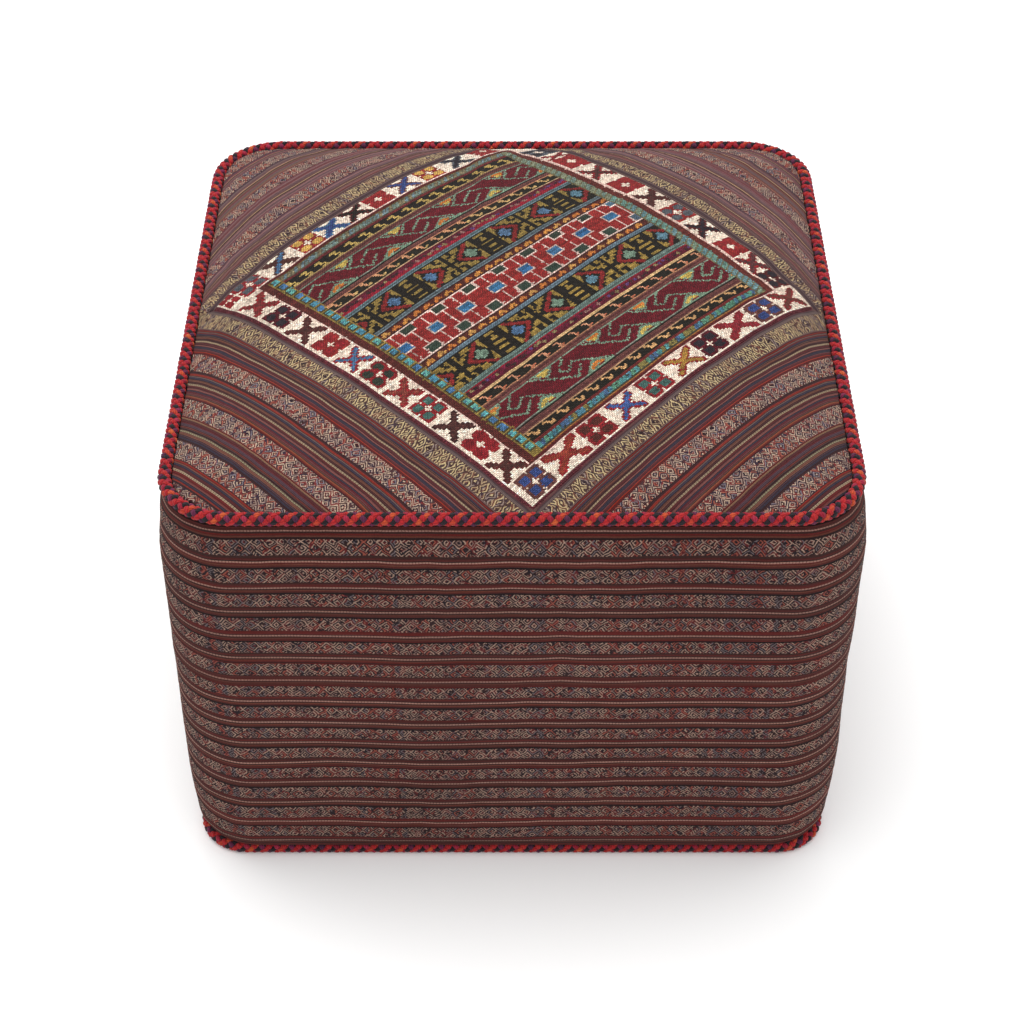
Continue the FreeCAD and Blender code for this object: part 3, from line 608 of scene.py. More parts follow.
def draw_kilim():
    rng = np.random.default_rng(3)
    # white border with its motifs
    K.rect(0, 256, 0, 260, WHITE, 0.1)
    for cv, kind, a, b in (
        (29.5, "x", (128, 52, 50), RED), (49.3, "f", INK, WINE), (70, "x", BROWN, MAROON), (90.3, "f", RED, BRICK),
        (110.5, "x", BLUE, RED), (130, "f", DARKGREEN, RED), (150.5, "x", (140, 66, 56), RED), (169.6, "f", TEAL, RED),
        (189.8, "x", BROWN, (66, 34, 34)), (210, "f", (138, 34, 40), RED), (230, "x", BROWN, MAROON),
    ):
        if kind == "x":
            cross(12.2, cv, a, b, 8.8, 8.8)
        else:
            flower(12.2, cv, a, b)
    flower(7.5, 7.5, RED, RED, 4.6, 6.2)
    flower(22.5, 8.2, SLATE, RED, 9.4, 8.2)
    for cu, kind, a, b in (
        (46, "x", BLUE, BROWN), (69, "f", GOLD, BRICK), (88, "x", ROYAL, BLUE), (108, "x", BLACK, MAROON),
        (128, "f", BRICK, RED), (150, "x", ROYAL, MAUVE), (172, "f", GOLD, BRICK), (197, "x", INK, SLATE), (221, "f", BRICK, RED),
    ):
        if kind == "x":
            cross(cu, 8.4, a, b, 9.6, 8.2, second=BROWN if a == BLUE else None)
        else:
            flower(cu, 8.4, a, b, 9.0, 8.2)
    for cv, kind, a, b in (
        (31, "f", INK, SLATE), (46, "x", (130, 44, 44), RED), (59, "f", BRICK, RED), (81, "x", BROWN, RED), (105, "f", BRICK, RED),
        (127, "x", BROWN, MAROON), (149, "f", SLATE, BRICK), (170, "x", INK, MAROON), (194, "f", BRICK, RED),
        (212.5, "x", (98, 56, 58), RED), (229.5, "f", INK, MAROON),
    ):
        if kind == "x":
            cross(246, cv, a, b, 9.2, 8.8 if cv != 46 else 5)
        else:
            flower(246, cv, a, b, 9.2, 8.4)
    flower(15.4, 248.4, ROYAL, MAUVE, 9.4, 8.0)
    for cu, kind, a, b, ru in (
        (40.7, "x", (150, 62, 48), RED, 13.2), (65.8, "f", (92, 44, 38), RED, 9.6), (91.2, "x", (70, 96, 156), RED, 10.2),
        (115.4, "f", TEAL, RED, 9.4), (141.2, "x", (176, 132, 62), RED, 11.6), (164.5, "f", INK, WINE, 9.4),
        (189.5, "x", (146, 44, 54), RED, 12.6), (214.8, "f", ROYAL, MAUVE, 10.2), (239, "x", (112, 60, 52), RED, 12.4),
    ):
        if kind == "x":
            cross(cu, 248.4, a, b, ru, 8.0)
        else:
            flower(cu, 248.4, a, b, ru, 8.0)
    # outermost rows: white line, then the wine-red selvedge next to the seam
    for u0, u1, v0, v1 in ((0, 3.2, 0, 260), (253.6, 256, 0, 260), (0, 256, 256.6, 260), (0, 256, 0, 1.2)):
        K.rect(u0, u1, v0, v1, WHITE, 0.15)
    for u0, u1, v0, v1 in ((0, 1.6, 0, 260), (254.8, 256, 0, 260), (0, 256, 258.2, 260)):
        K.rect(u0, u1, v0, v1, (112, 52, 60), 0.0)
    # inner field behind a brown-red line and a frame of turquoise beads
    K.rect(21.4, 237.6, 16.2, 239.6, (232, 200, 188), 0.2)
    K.rect(22.4, 236.4, 17.3, 238.6, MAROON, 0.0)
    K.rect(26.8, 231.8, 19.4, 237.2, (110, 84, 46), 0.05)
    K.rect(27.2, 231.4, 19.8, 236.8, (142, 120, 62), 0.15)
    K.rect(34.0, 224.6, 19.8, 236.8, BLACK, 0.0)
    # left run of beads
    v = 20.4
    k = 0
    while v < 231:
        tall = 4.4 + 0.9 * rng.uniform(-1, 1)
        tint = (TURQ, (86, 152, 178), (108, 178, 168), (84, 128, 176))[rng.integers(0, 4)]
        K.rect(28.0, 33.2, v - 0.8, v + tall + 0.6, (72, 70, 52), 0.05)
        K.rect(28.6, 32.6, v, v + tall, tint, 0.4)
        K.rect(29.6, 30.8, v + 1, v + 2.2, (74, 116, 138), 0.35)
        v += tall + 2.3
        k += 1
    # right run: slanted green and turquoise bars
    for k in range(46):
        v = 20 + k * 4.7
        tint = ((122, 160, 140), (102, 160, 150), (112, 158, 168), (98, 150, 160))[rng.integers(0, 4)]
        if v < 80:
            tint = (140, 148, 120) if k % 2 else (128, 146, 124)
        K.stroke([(226.4, v + 2.8), (229.6, v)], 3.4, tint, 0.35, (225.6, 230.4, 20, 236))
    K.rect(224.6, 225.4, 20, 236, (148, 120, 66), 0.2)
    K.rect(230.6, 231.4, 20, 236, (148, 110, 62), 0.2)
    # top run: slanted grey-blue bars
    K.rect(33.0, 225, 19.8, 24.6, (96, 88, 74), 0.05)
    for k in range(70):
        u = 34 + k * 2.8
        tint = ((120, 138, 128), (104, 124, 122), (128, 118, 92), (110, 132, 140))[rng.integers(0, 4)]
        K.stroke([(u, 24), (u + 3.0, 20.4)], 1.7, tint, 0.3, (34, 224, 20.2, 24.3))
    # bottom run
    K.rect(33.0, 229, 230.8, 235.8, (66, 66, 56), 0.05)
    for k in range(60):
        u = 34 + k * 3.3
        tint = ((88, 150, 152), (82, 132, 152), (96, 148, 124), (78, 108, 146), (136, 124, 72))[rng.integers(0, 5)]
        K.stroke([(u, 234.6), (u + 1.6, 232)], 2.6, tint, 0.35, (33.6, 228.6, 231.2, 235.4))
    K.rect(27.2, 231.4, 236.0, 237.2, (150, 96, 52), 0.2)
    field = (34.0, 224.6)
    F0, F1 = field
    # --- bands, from the back-left edge of the field to the front-right
    K.rect(F0, F1, 24.6, 27.0, (112, 42, 44), 0.1)
    K.rect(F0, F1, 27.0, 34.2, BLACK, 0.0)
    K.rect(F0, F1, 34.0, 35.2, (186, 156, 104), 0.25)
    for k in range(17):
        c = 35 + k * 12.1 + rng.uniform(-0.6, 0.6)
        tint = (198, 168, 96) if k > 7 else (212, 180, 104)
        K.stroke([(c - 3.4, 29.4), (c + 0.9, 28.9), (c - 0.1, 31.3), (c + 2.4, 31.5), (c + 3.0, 33.6)], 1.6, tint, 0.35, (F0, F1, 27.6, 34.2))
        K.stroke([(c + 0.2, 33.5), (c + 3.6, 33.5)], 1.0, tuple(0.9 * x for x in tint), 0.35, (F0, F1, 27.4, 34.2))
    # brown pin lines beside each key-pattern band
    for v0 in (35.2, 59.9, 191.2, 218.0):
        K.rect(F0, F1, v0, v0 + 3.6, MAUVE, 0.1)
        K.rect(F0, F1, v0 + 0.8, v0 + 1.5, (86, 44, 44), 0.0)
        K.rect(F0, F1, v0 + 2.3, v0 + 3.0, (92, 50, 50), 0.0)
    # key-pattern bands
    for top, low, starts, kind in ((39.0, 59.4, (11, 55, 98, 142, 187), 0), (195.0, 217.4, (23, 65, 107, 147.5, 189.5), 1)):
        lim = (F0, F1, top, low)
        K.rect(F0, F1, top, low, (104, 26, 36), 0.15)
        mint = (126, 152, 130)
        K.rect(F0, F1, top, top + 1.0, (134, 150, 132), 0.3)
        K.rect(F0, F1, low - 1.0, low, (130, 132, 122), 0.3)
        h = low - top
        for u0 in starts:
            # filled triangles with a yellow or orange heart
            K.triangle((u0 + 3.5, top), (u0 + 19, top), (u0 + 11, top + 0.30 * h), mint, 0.25, lim)
            heart = (YELLOW, ORANGE)[rng.integers(0, 2)]
            K.stroke([(u0 + 8, top + 1.9), (u0 + 14.5, top + 2.2)], 2.8, heart, 0.35, lim)
            K.stroke([(u0 + 10, top + 4.1), (u0 + 12.5, top + 3.9)], 1.9, YELLOW, 0.35, lim)
            K.triangle((u0 + 26.5, low), (u0 + 40, low - 0.38 * h), (u0 + 53, low), mint, 0.25, lim)
            heart = (YELLOW, ORANGE)[rng.integers(0, 2)]
            K.stroke([(u0 + 35, low - 2.6), (u0 + 39.5, low - 4.6), (u0 + 43, low - 2.9)], 2.3, heart, 0.35, lim)
            K.stroke([(u0 + 39.5, low - 2), (u0 + 44, low - 1.8)], 1.2, (112, 44, 44), 0.3, lim)
            if kind == 0:
                A = [(u0, top), (u0 + 12, top + 0.44 * h), (u0 + 23, top + 0.84 * h), (u0 + 31.5, top + 0.54 * h)]
                B = [(u0 + 27, top + 0.02 * h), (u0 + 19.5, top + 0.5 * h), (u0 + 22.6, top + 0.58 * h), (u0 + 30.5, top + 0.2 * h), (u0 + 39, top + 0.48 * h), (u0 + 54, low)]
                B = [(u0 + 20.0, top + 0.5 * h), (u0 + 30.5, top + 0.18 * h), (u0 + 39, top + 0.48 * h), (u0 + 54, low)]
                C = [(u0 + 12, top + 0.42 * h), (u0 + 21.5, top)]
            else:
                A = [(u0, top), (u0 + 24, top + 0.82 * h), (u0 + 32.5, top + 0.56 * h)]
                B = [(u0 + 29, top), (u0 + 19.2, top + 0.36 * h), (u0 + 23.6, top + 0.52 * h), (u0 + 30.8, top + 0.32 * h), (u0 + 41, top + 0.66 * h), (u0 + 52, low)]
                C = [(u0 + 10.5, top + 0.34 * h), (u0 + 20, top)]
            for line in (A, B, C):
                m = K.stroke(line, 1.5, mint, 0.4, lim)
                # dotted look: some stitches of the line are darker
                odd = ((np.floor(K.u) + 2 * np.floor(K.v)) % 4 == 0) & m
                K.c[odd] = (92, 60, 62)
    # black band, peach hooks
    K.rect(F0, F1, 63.3, 64.2, (176, 120, 92), 0.25)
    K.rect(F0, F1, 64.2, 69.8, (40, 36, 28), 0.0)
    K.rect(F0, F1, 69.6, 71.0, (196, 160, 124), 0.3)
    for k in range(17):
        c = 38.5 + k * 11.65 + rng.uniform(-0.5, 0.5)
        tint = (210, 152, 112) if k < 10 else (206, 166, 112)
        K.stroke([(c - 3.2, 65.0), (c - 0.6, 65.2), (c - 0.2, 67.2), (c + 1.0, 68.4)], 1.45, tint, 0.35, (F0, F1, 64.2, 69.8))
        K.stroke([(c + 1.0, 68.5), (c + 2.6, 68.3), (c + 3.6, 67.2)], 1.25, (214, 178, 116), 0.35, (F0, F1, 64.2, 69.8))
    K.rect(F0, F1, 182.4, 183.9, (214, 176, 128), 0.3)
    K.rect(F0, F1, 183.9, 190.3, (38, 34, 28), 0.0)
    K.rect(F0, F1, 190.2, 191.3, (178, 126, 96), 0.25)
    for k in range(16):
        c = 40 + k * 12.1 + rng.uniform(-0.6, 0.6)
        K.stroke([(c - 2.8, 185.2), (c - 0.8, 185.6), (c + 0.3, 187.2), (c + 0.2, 189.2)], 1.4, (214, 150, 116), 0.35, (F0, F1, 184.2, 190.3))
        K.stroke([(c + 0.6, 189.2), (c + 3.0, 188.4)], 1.1, (202, 118, 88), 0.35, (F0, F1, 184.2, 190.3))
    K.rect(F0, F1, 221.8, 222.9, (190, 148, 112), 0.25)
    K.rect(F0, F1, 222.9, 229.0, (36, 32, 26), 0.0)
    K.rect(F0, F1, 229.0, 230.9, (116, 44, 42), 0.1)
    for k in range(16):
        c = 38.5 + k * 12.2 + rng.uniform(-0.6, 0.6)
        K.stroke([(c - 2.8, 224.2), (c - 0.4, 224.4), (c + 0.3, 226.0), (c + 1.2, 227.4), (c + 3.0, 227.0), (c + 3.8, 226.0)], 1.6, (212, 164, 112), 0.35, (F0, F1, 223, 229))
    # magenta bands with small flecks
    for v0, v1, bright in ((71.0, 78.0, (75.4, 77.8)), (175.6, 182.4, (175.6, 176.6))):
        K.rect(F0, F1, v0, v1, (96, 28, 44), 0.1)
        K.rect(F0, F1, bright[0], bright[1], CRIMSON, 0.2)
        n = 0
        for k in range(60):
            u = F0 + 1 + k * 3.25
            vv = (v0 + v1) / 2 + rng.uniform(-1.2, 0.9)
            tint = ((58, 34, 38), (150, 110, 104), (118, 30, 60), (64, 40, 40), (142, 126, 88), (98, 66, 116), (58, 30, 36))[rng.integers(0, 7)]
            K.blob(u, vv, 1.4, 1.2, tint, 1.6, 0.3)
    # light blue lines
    for v0, v1, tint in ((78.0, 81.2, (112, 134, 142)), (102.6, 106.0, (108, 122, 130)), (147.2, 150.2, (104, 124, 138)), (172.4, 175.6, (112, 132, 126))):
        K.rect(F0, F1, v0, v1, tint, 0.25)
        K.rect(F0, F1, (v0 + v1) / 2 - 0.2, (v0 + v1) / 2 + 0.7, tuple(0.72 * x for x in tint), 0.1)
    # two olive and black bands
    for top, low, tips, gold in ((81.2, 102.6, (52.0, 114.6, 177.5), OLIVE), (150.2, 172.4, (54.2, 117.0, 179.6), (158, 130, 66))):
        mid = (top + low) / 2
        h = (low - top) / 2
        lim = (F0, F1, top, low)
        K.rect(F0, F1, top, low, (36, 31, 26), 0.05)
        K.clip = (F0, F1, top, low)
        for n, tip in enumerate((tips[0] - 62.7,) + tips):
            # comb in the middle of the diamond: bars between two dark posts
            cu = tip + 24.4
            for dv, w in ((-0.8, 3.6), (-0.4, 2.2), (-0.04, 4.6), (0.36, 3.2), (0.8, 3.9)):
                K.rect(cu - w, cu + w, mid + dv * h - 0.95, mid + dv * h + 0.95, gold, 0.3)
            K.rect(cu - 1.1, cu + 1.1, mid - 0.62 * h, mid - 0.3 * h, gold, 0.3)
            # stepped olive triangles beside the stars
            for sgn in (-1, 1):
                base = cu + sgn * 8.2
                for up in (-1, 1):
                    for q in range(4):
                        w = 4.6 - q * 1.2
                        v0 = mid + up * (0.80 - 0.19 * q) * h
                        a0, a1 = sorted((base, base + sgn * w))
                        K.rect(a0, a1, v0 - 1.15, v0 + 1.15, gold, 0.3)
            # red chevrons opening towards the comb, a blue star in each
            for sgn, t0 in ((1, tip), (-1, tip + 48.6)):
                star = ((92, 122, 156), (96, 132, 150), (118, 142, 124), (84, 116, 154))[rng.integers(0, 4)]
                sc = t0 + sgn * 9.6
                K.stroke([(t0 + sgn * 12.4, mid - 0.84 * h), (t0, mid), (t0 + sgn * 12.4, mid + 0.9 * h)], 2.6, (136, 40, 40), 0.35, lim)
                K.rect(sc - 4.4, sc + 4.4, mid - 1.3, mid + 1.3, star, 0.35)
                K.rect(sc - 1.4, sc + 1.4, mid - 4.2, mid + 4.2, star, 0.35)
                K.rect(sc - 2.8, sc + 2.8, mid - 2.7, mid + 2.7, star, 0.35)
            # olive ground between two diamonds, with a black hooked cross
            c2 = tip - 7.1
            for sgn in (-1, 1):
                for up in (-1, 1):
                    # stepped wedge that follows the chevron
                    for q in range(5):
                        v0 = mid + up * (0.2 + 0.17 * q) * h
                        far = 4.2 + 3.1 * q
                        a0, a1 = sorted((c2 + sgn * 1.6, c2 + sgn * min(far, 15.0)))
                        K.rect(a0, a1, v0 - 0.95, v0 + 0.95, gold, 0.3)
                    a0, a1 = sorted((c2 + sgn * 4.2, c2 + sgn * 7.6))
                    b0, b1 = sorted((mid + up * 0.55 * h, mid + up * 1.0 * h))
                    K.rect(a0, a1, b0, b1, (36, 31, 26), 0.05)
                    a0, a1 = sorted((c2 + sgn * 2.6, c2 + sgn * 5.4))
                    b0, b1 = sorted((mid + up * 0.5 * h, mid + up * 0.68 * h))
                    K.rect(a0, a1, b0, b1, (36, 31, 26), 0.05)
            K.rect(c2 - 1.5, c2 + 1.5, top, low, (36, 31, 26), 0.05)
            K.rect(c2 - 6.4, c2 + 6.4, mid - 1.2, mid + 1.2, (36, 31, 26), 0.05)
        K.clip = None
    # brown bands with gold flecks
    for v0, v1, first in ((106.0, 112.0, 37.5), (140.8, 147.2, 39.0)):
        K.rect(F0, F1, v0, v1, (92, 42, 34), 0.1)
        K.rect(F0, F1, v1 - 0.9, v1, (64, 32, 30), 0.0)
        K.rect(F0, F1, v0, v0 + 0.8, (64, 32, 30), 0.0)
        k = 0
        u = first
        while u < F1 - 1:
            tint = ((210, 142, 70), (200, 120, 58), (206, 152, 84))[rng.integers(0, 3)]
            mid = (v0 + v1) / 2
            K.stroke([(u - 1.8, mid + 1.0), (u + 0.4, mid - 0.6), (u + 2.0, mid + 0.6)], 2.3, tint, 0.35, (F0, F1, v0 + 0.9, v1 - 0.9))
            u += 8.4
            k += 1
    # red lattice with blue and dark green blocks
    top, low = 112.0, 140.8
    K.rect(F0, F1, top, low, BRICK, 0.15)
    pale = (214, 186, 176)
    K.rect(F0, F1, top, top + 1.1, pale, 0.3)
    K.rect(F0, F1, low - 1.1, low, pale, 0.3)
    K.rect(F0, F1, 125.5, 126.5, pale, 0.3)
    K.clip = (F0, F1, top, low)
    for k in range(9):
        g = 49.5 + k * 24.75 - 24.75
        b = g + 12.4
        wob = rng.uniform(-0.6, 0.6)
        K.rect(g - 0.5, g + 0.5, 118, 134, pale, 0.3)
        K.rect(b - 0.5, b + 0.5, top, low, pale, 0.3)
        # stepped pale outlines round the green blocks above and below
        K.rect(g - 6.6 + wob, g + 6.4, 112.0, 114.2, pale, 0.3)
        K.rect(g - 5.2, g + 5.2 + wob, 112.0, 119.0, pale, 0.3)
        K.rect(g - 5.2 + wob, g + 5.2, 132.8, 140.8, pale, 0.3)
        K.rect(g - 6.6, g + 6.6 + wob, 137.6, 139.0, pale, 0.3)
        if g < 215:
            K.rect(g - 4.2, g + 4.2, 113.1, 117.9, DARKGREEN, 0.35)
            K.rect(g - 4.2, g + 4.2, 133.8, 139.7, (58, 72, 62), 0.35)
        else:
            K.rect(g - 4.2, g + 4.2, 113.1, 118, (86, 118, 140), 0.35)
            K.rect(g - 4.2, g + 4.2, 134, 139.6, (86, 104, 122), 0.35)
        K.rect(b - 5.2, b + 5.2, 121.6, 130.2, pale, 0.3)
        K.rect(b - 4.2, b + 4.2, 122.7, 129.1, ((66, 120, 164), (78, 126, 170), (60, 110, 160))[rng.integers(0, 3)], 0.35)
    K.clip = None


draw_kilim()
# the frame runs over whatever reached past the field


def redraw_frame():
    rng = np.random.default_rng(8)
    K.rect(21.4, 22.5, 16.2, 239.6, (232, 200, 188), 0.2)
    K.rect(22.4, 26.8, 17.3, 238.6, (94, 42, 38), 0.0)
    K.rect(26.8, 34.0, 19.6, 236.8, (142, 120, 62), 0.15)
    v = 20.4
    while v < 230:
        tall = 4.3 + 0.9 * rng.uniform(-1, 1)
        tint = (TURQ, (86, 152, 178), (108, 178, 168), (84, 128, 176))[rng.integers(0, 4)]
        K.rect(28.0, 33.3, v - 0.9, v + tall + 0.7, (78, 72, 50), 0.05)
        K.rect(28.6, 32.7, v, v + tall, tint, 0.4)
        K.rect(29.4, 30.6, v + 1.2, v + 2.4, (70, 110, 136), 0.35)
        v += tall + 2.5
    K.rect(33.2, 34.0, 19.8, 231, (150, 122, 64), 0.2)
    K.rect(224.0, 231.8, 19.8, 236.8, (112, 104, 76), 0.1)
    for k in range(52):
        v = 19 + k * 4.2
        tint = ((126, 148, 128), (110, 148, 138), (112, 144, 150), (104, 140, 146))[rng.integers(0, 4)]
        if v < 110:
            tint = ((140, 146, 122), (128, 142, 124), (122, 144, 134))[k % 3]
        K.stroke([(225.4, v + 2.8), (230.6, v)], 2.8, tint, 0.35, (225.4, 230.8, 20, 236))
    K.rect(231.4, 236.4, 17.3, 238.6, (104, 46, 40), 0.0)
    K.rect(236.4, 237.5, 16.2, 239.6, (226, 190, 178), 0.2)


redraw_frame()

# stitch-sized unevenness of the motif edges
rng = np.random.default_rng(21)
jc = K.c.copy()
for dv_, du_ in ((0, 1), (0, -1)):
    m = rng.random(K.u.shape) < 0.05
    rolled = np.roll(K.c, (dv_, du_), axis=(0, 1))
    inner = (K.u > 4) & (K.u < 252) & (K.v > 3) & (K.v < 256)
    m &= inner
    jc[m] = rolled[m]
K.c = jc
K.c = K.c * (1 + 0.09 * rng.standard_normal(K.u.shape))[..., None]
# abrash: yarn lots that differ a little from row to row
K.c = K.c * (1 + 0.045 * np.repeat(rng.standard_normal((NV + 1) // 2), 2)[:NV])[:, None, None]


def build_kilim():
    u, v = np.meshgrid(np.arange(NU + 1, dtype=float), np.arange(NV + 1, dtype=float))
    x, y = kilim_plan(u, v)
    limit = edge_distance(x, y)
    # height at the vertices: mean of the stitches around
    hp = np.pad(K.h, 1, mode="edge")
    hv = (hp[:-1, :-1] + hp[1:, :-1] + hp[:-1, 1:] + hp[1:, 1:]) / 4
    rngk = np.random.default_rng(31)
    hv = hv * 1.15 + 0.05 * rngk.standard_normal(hv.shape)
    near = np.minimum(np.minimum(u, NU - u), np.minimum(v, NV - v)) * 1.3
    near = np.minimum(near, np.clip(limit, 0, None))
    lift = hv - 0.15 - 1.5 * np.exp(-(near / 1.5) ** 2)
    # pull points beyond the back seam onto it
    over = limit < 0.2
    yy = np.where(over, np.minimum(y, TOP_INSIDE - 0.2), y)
    p = on_top(x, yy, lift)
    keepf = (np.minimum(np.minimum(limit[:-1, :-1], limit[1:, :-1]), np.minimum(limit[:-1, 1:], limit[1:, 1:])) > -0.4)
    idx = np.arange((NU + 1) * (NV + 1)).reshape(NV + 1, NU + 1)
    quads = np.stack([idx[:-1, :-1], idx[1:, :-1], idx[1:, 1:], idx[:-1, 1:]], -1)[keepf]
    cols = 1.22 * wool_array(K.c)[keepf]
    # undyed yarn is cleaner and lighter than the dyed lots
    undyed = smooth_step(K.c.min(-1)[keepf], 150, 205)
    cols = cols * (1 + 0.22 * undyed[:, None])
    verts = p.reshape(-1, 3)
    uv = np.stack([u, v], -1).reshape(-1, 2)
    # turned-under hem round the edge
    verts, quads, cols, uv = add_skirt(verts, quads, cols, uv, 2.4)
    ob = new_object("kilim_panel", verts, quads)
    face_colours(ob, "Col", cols)
    set_uv(ob, "stitch", uv)
    return ob


def add_skirt(verts, faces, cols, uv, depth, inward=0.5):
    """Drops a strip from every open edge, as the seam allowance that is turned under."""
    faces = [tuple(int(i) for i in f) for f in faces]
    used = sorted({i for f in faces for i in f})
    remap = {o: n for n, o in enumerate(used)}
    verts, uv = np.asarray(verts)[used], np.asarray(uv)[used]
    faces = [tuple(remap[i] for i in f) for f in faces]
    edges = {}
    for k, f in enumerate(faces):
        for a, b in zip(f, f[1:] + f[:1]):
            if (b, a) in edges:
                del edges[(b, a)]
            else:
                edges[(a, b)] = k
    rim = sorted({i for e in edges for i in e})
    centre = verts.mean(0)
    low = {}
    extra, extra_uv = [], []
    for i in rim:
        low[i] = len(verts) + len(extra)
        d = centre - verts[i]
        d[2] = 0
        d = d / (np.linalg.norm(d) + 1e-9)
        extra.append(verts[i] + d * inward + np.array((0, 0, -depth)))
        extra_uv.append(uv[i] + 0.01)
    new_faces, new_cols = [], []
    for (a, b), k in sorted(edges.items()):
        new_faces.append((b, a, low[a], low[b]))
        new_cols.append(cols[k])
    return (np.concatenate([verts, np.array(extra)]), faces + new_faces,
            np.concatenate([np.asarray(cols), np.array(new_cols)]), np.concatenate([uv, np.array(extra_uv)]))


kilim = build_kilim()
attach(kilim, "pouf")
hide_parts("kilim_diamond")
print("kilim", len(kilim.data.polygons))

# ------------------------------------------------------------ corner panels
# Stripes outwards from the diamond's edge: (end of the stripe, yarn), mm.
# "A" and "B" are the lattice-patterned bands.
Y = {
    "seam": (96, 50, 56), "ink": (72, 54, 58), "grey": (108, 90, 88), "mauve": (116, 94, 90), "wine": (92, 48, 50),
    "red": (140, 58, 50), "navy": (58, 52, 66), "brown": (94, 68, 64), "rust": (114, 74, 64), "maroon": (78, 46, 46),
    "cream": (172, 150, 124), "slate": (98, 92, 98), "dark": (56, 34, 36), "gold": (154, 124, 98), "orange": (146, 84, 64),
    # "line": dark rows put in the dips between stripes, painted shade
    "line": (58, 38, 42), "plum": (84, 62, 72), "rosy": (124, 78, 74), "straw": (150, 138, 112),
    # paler, pinker lots on the two back panels
    "b0": (118, 90, 88), "b1": (100, 72, 76), "b2": (122, 86, 82), "b3": (112, 79, 75), "bgold": (160, 126, 106),
    "b4": (128, 92, 90), "b5": (114, 84, 84), "brust": (146, 104, 94), "bmoss": (116, 88, 80), "bwine": (122, 80, 82),
}
FRONT_STRIPES = [
    (0.9, "seam"), (2.6, "ink"), (5.0, "grey"), (18.4, "A"), (19.3, "mauve"), (20.3, "wine"), (21.6, "red"), (23.1, "mauve"),
    (25.0, "navy"), (26.2, "brown"), (28.0, "rust"), (29.4, "maroon"), (31.2, "cream"), (33.5, "wine"), (35.0, "rosy"),
    (37.0, "navy"), (38.2, "slate"), (39.4, "wine"), (41.0, "red"), (42.4, "dark"), (57.4, "B"), (59.1, "dark"),
    (59.9, "wine"), (61.9, "red"), (62.8, "mauve"), (65.0, "navy"), (67.2, "rust"), (68.7, "maroon"), (70.5, "cream"),
    (72.6, "wine"), (74.6, "rosy"), (76.8, "navy"), (78.0, "slate"), (79.3, "brown"), (81.2, "orange"), (82.7, "dark"),
    (97.0, "B"), (98.2, "brown"), (99.8, "gold"), (102.1, "wine"), (105.2, "plum"), (107.6, "brown"), (108.6, "dark"),
    (110.4, "straw"), (113.0, "rust"), (114.6, "plum"), (116.2, "navy"), (118.0, "dark"), (132.6, "B"), (133.4, "dark"),
    (135.0, "red"), (136.0, "rust"), (138.0, "navy"), (140.2, "wine"), (142.2, "cream"), (144.4, "wine"), (146.2, "rosy"),
    (148.2, "navy"), (149.6, "red"), (151.0, "dark"), (162.0, "B"), (164.0, "dark"), (167.0, "red"), (200.0, "wine"),
]
BACK_STRIPES = [
    (1.0, "mauve"), (3.4, "ink"), (5.0, "b0"), (18.8, "A"), (19.6, "b1"), (21.2, "b3"), (22.4, "b0"), (23.8, "b3"), (26.6, "b2"),
    (27.3, "b3"), (29.2, "bgold"), (31.0, "b3"), (33.6, "b5"), (36.2, "b4"), (37.8, "b1"), (51.6, "B"), (53.4, "bwine"),
    (55.4, "b4"), (57.2, "b5"), (59.6, "b4"), (60.8, "b3"), (63.2, "bgold"), (65.0, "b3"), (67.4, "b5"), (69.6, "b4"),
    (71.8, "bwine"), (74.2, "b4"), (76.0, "bwine"), (90.0, "B"), (91.2, "b3"), (93.0, "brust"), (95.4, "bmoss"), (98.6, "b5"),
    (101.6, "bmoss"), (104.6, "bgold"), (107.0, "b5"), (110.0, "b0"), (111.8, "b1"), (126.4, "B"), (128.6, "bwine"),
    (131.0, "b4"), (133.4, "bgold"), (135.4, "bwine"), (137.4, "b1"), (152.0, "B"), (156.0, "b4"), (200.0, "b3"),
]
PANELS = {
    "corner_panel_front_left": (LEFT, FRONT, -1, -1, 0.8189, FRONT_STRIPES, 0.0),
    "corner_panel_front_right": (FRONT, RIGHT, 1, -1, 0.7664, FRONT_STRIPES, 0.0),
    "corner_panel_back_left": (LEFT, BACK, -1, 1, 0.7035, BACK_STRIPES, 0.0),
    "corner_panel_back_right": (BACK, RIGHT, 1, 1, 0.7162, BACK_STRIPES, -2.4),
}
stripe_wave = Noise(41, 46)
stripe_wave2 = Noise(42, 15)


def chord(point, direction, planes):
    """Part of a line inside a convex region given by planes (normal, offset): n.p <= d."""
    lo, hi = -1e9, 1e9
    for n, d in planes:
        den = n[0] * direction[0] + n[1] * direction[1]
        num = d - (n[0] * point[0] + n[1] * point[1])
        if abs(den) < 1e-12:
            if num < 0:
                return None
        elif den > 0:
            hi = min(hi, num / den)
        else:
            lo = max(lo, num / den)
    return (lo, hi) if hi > lo else None


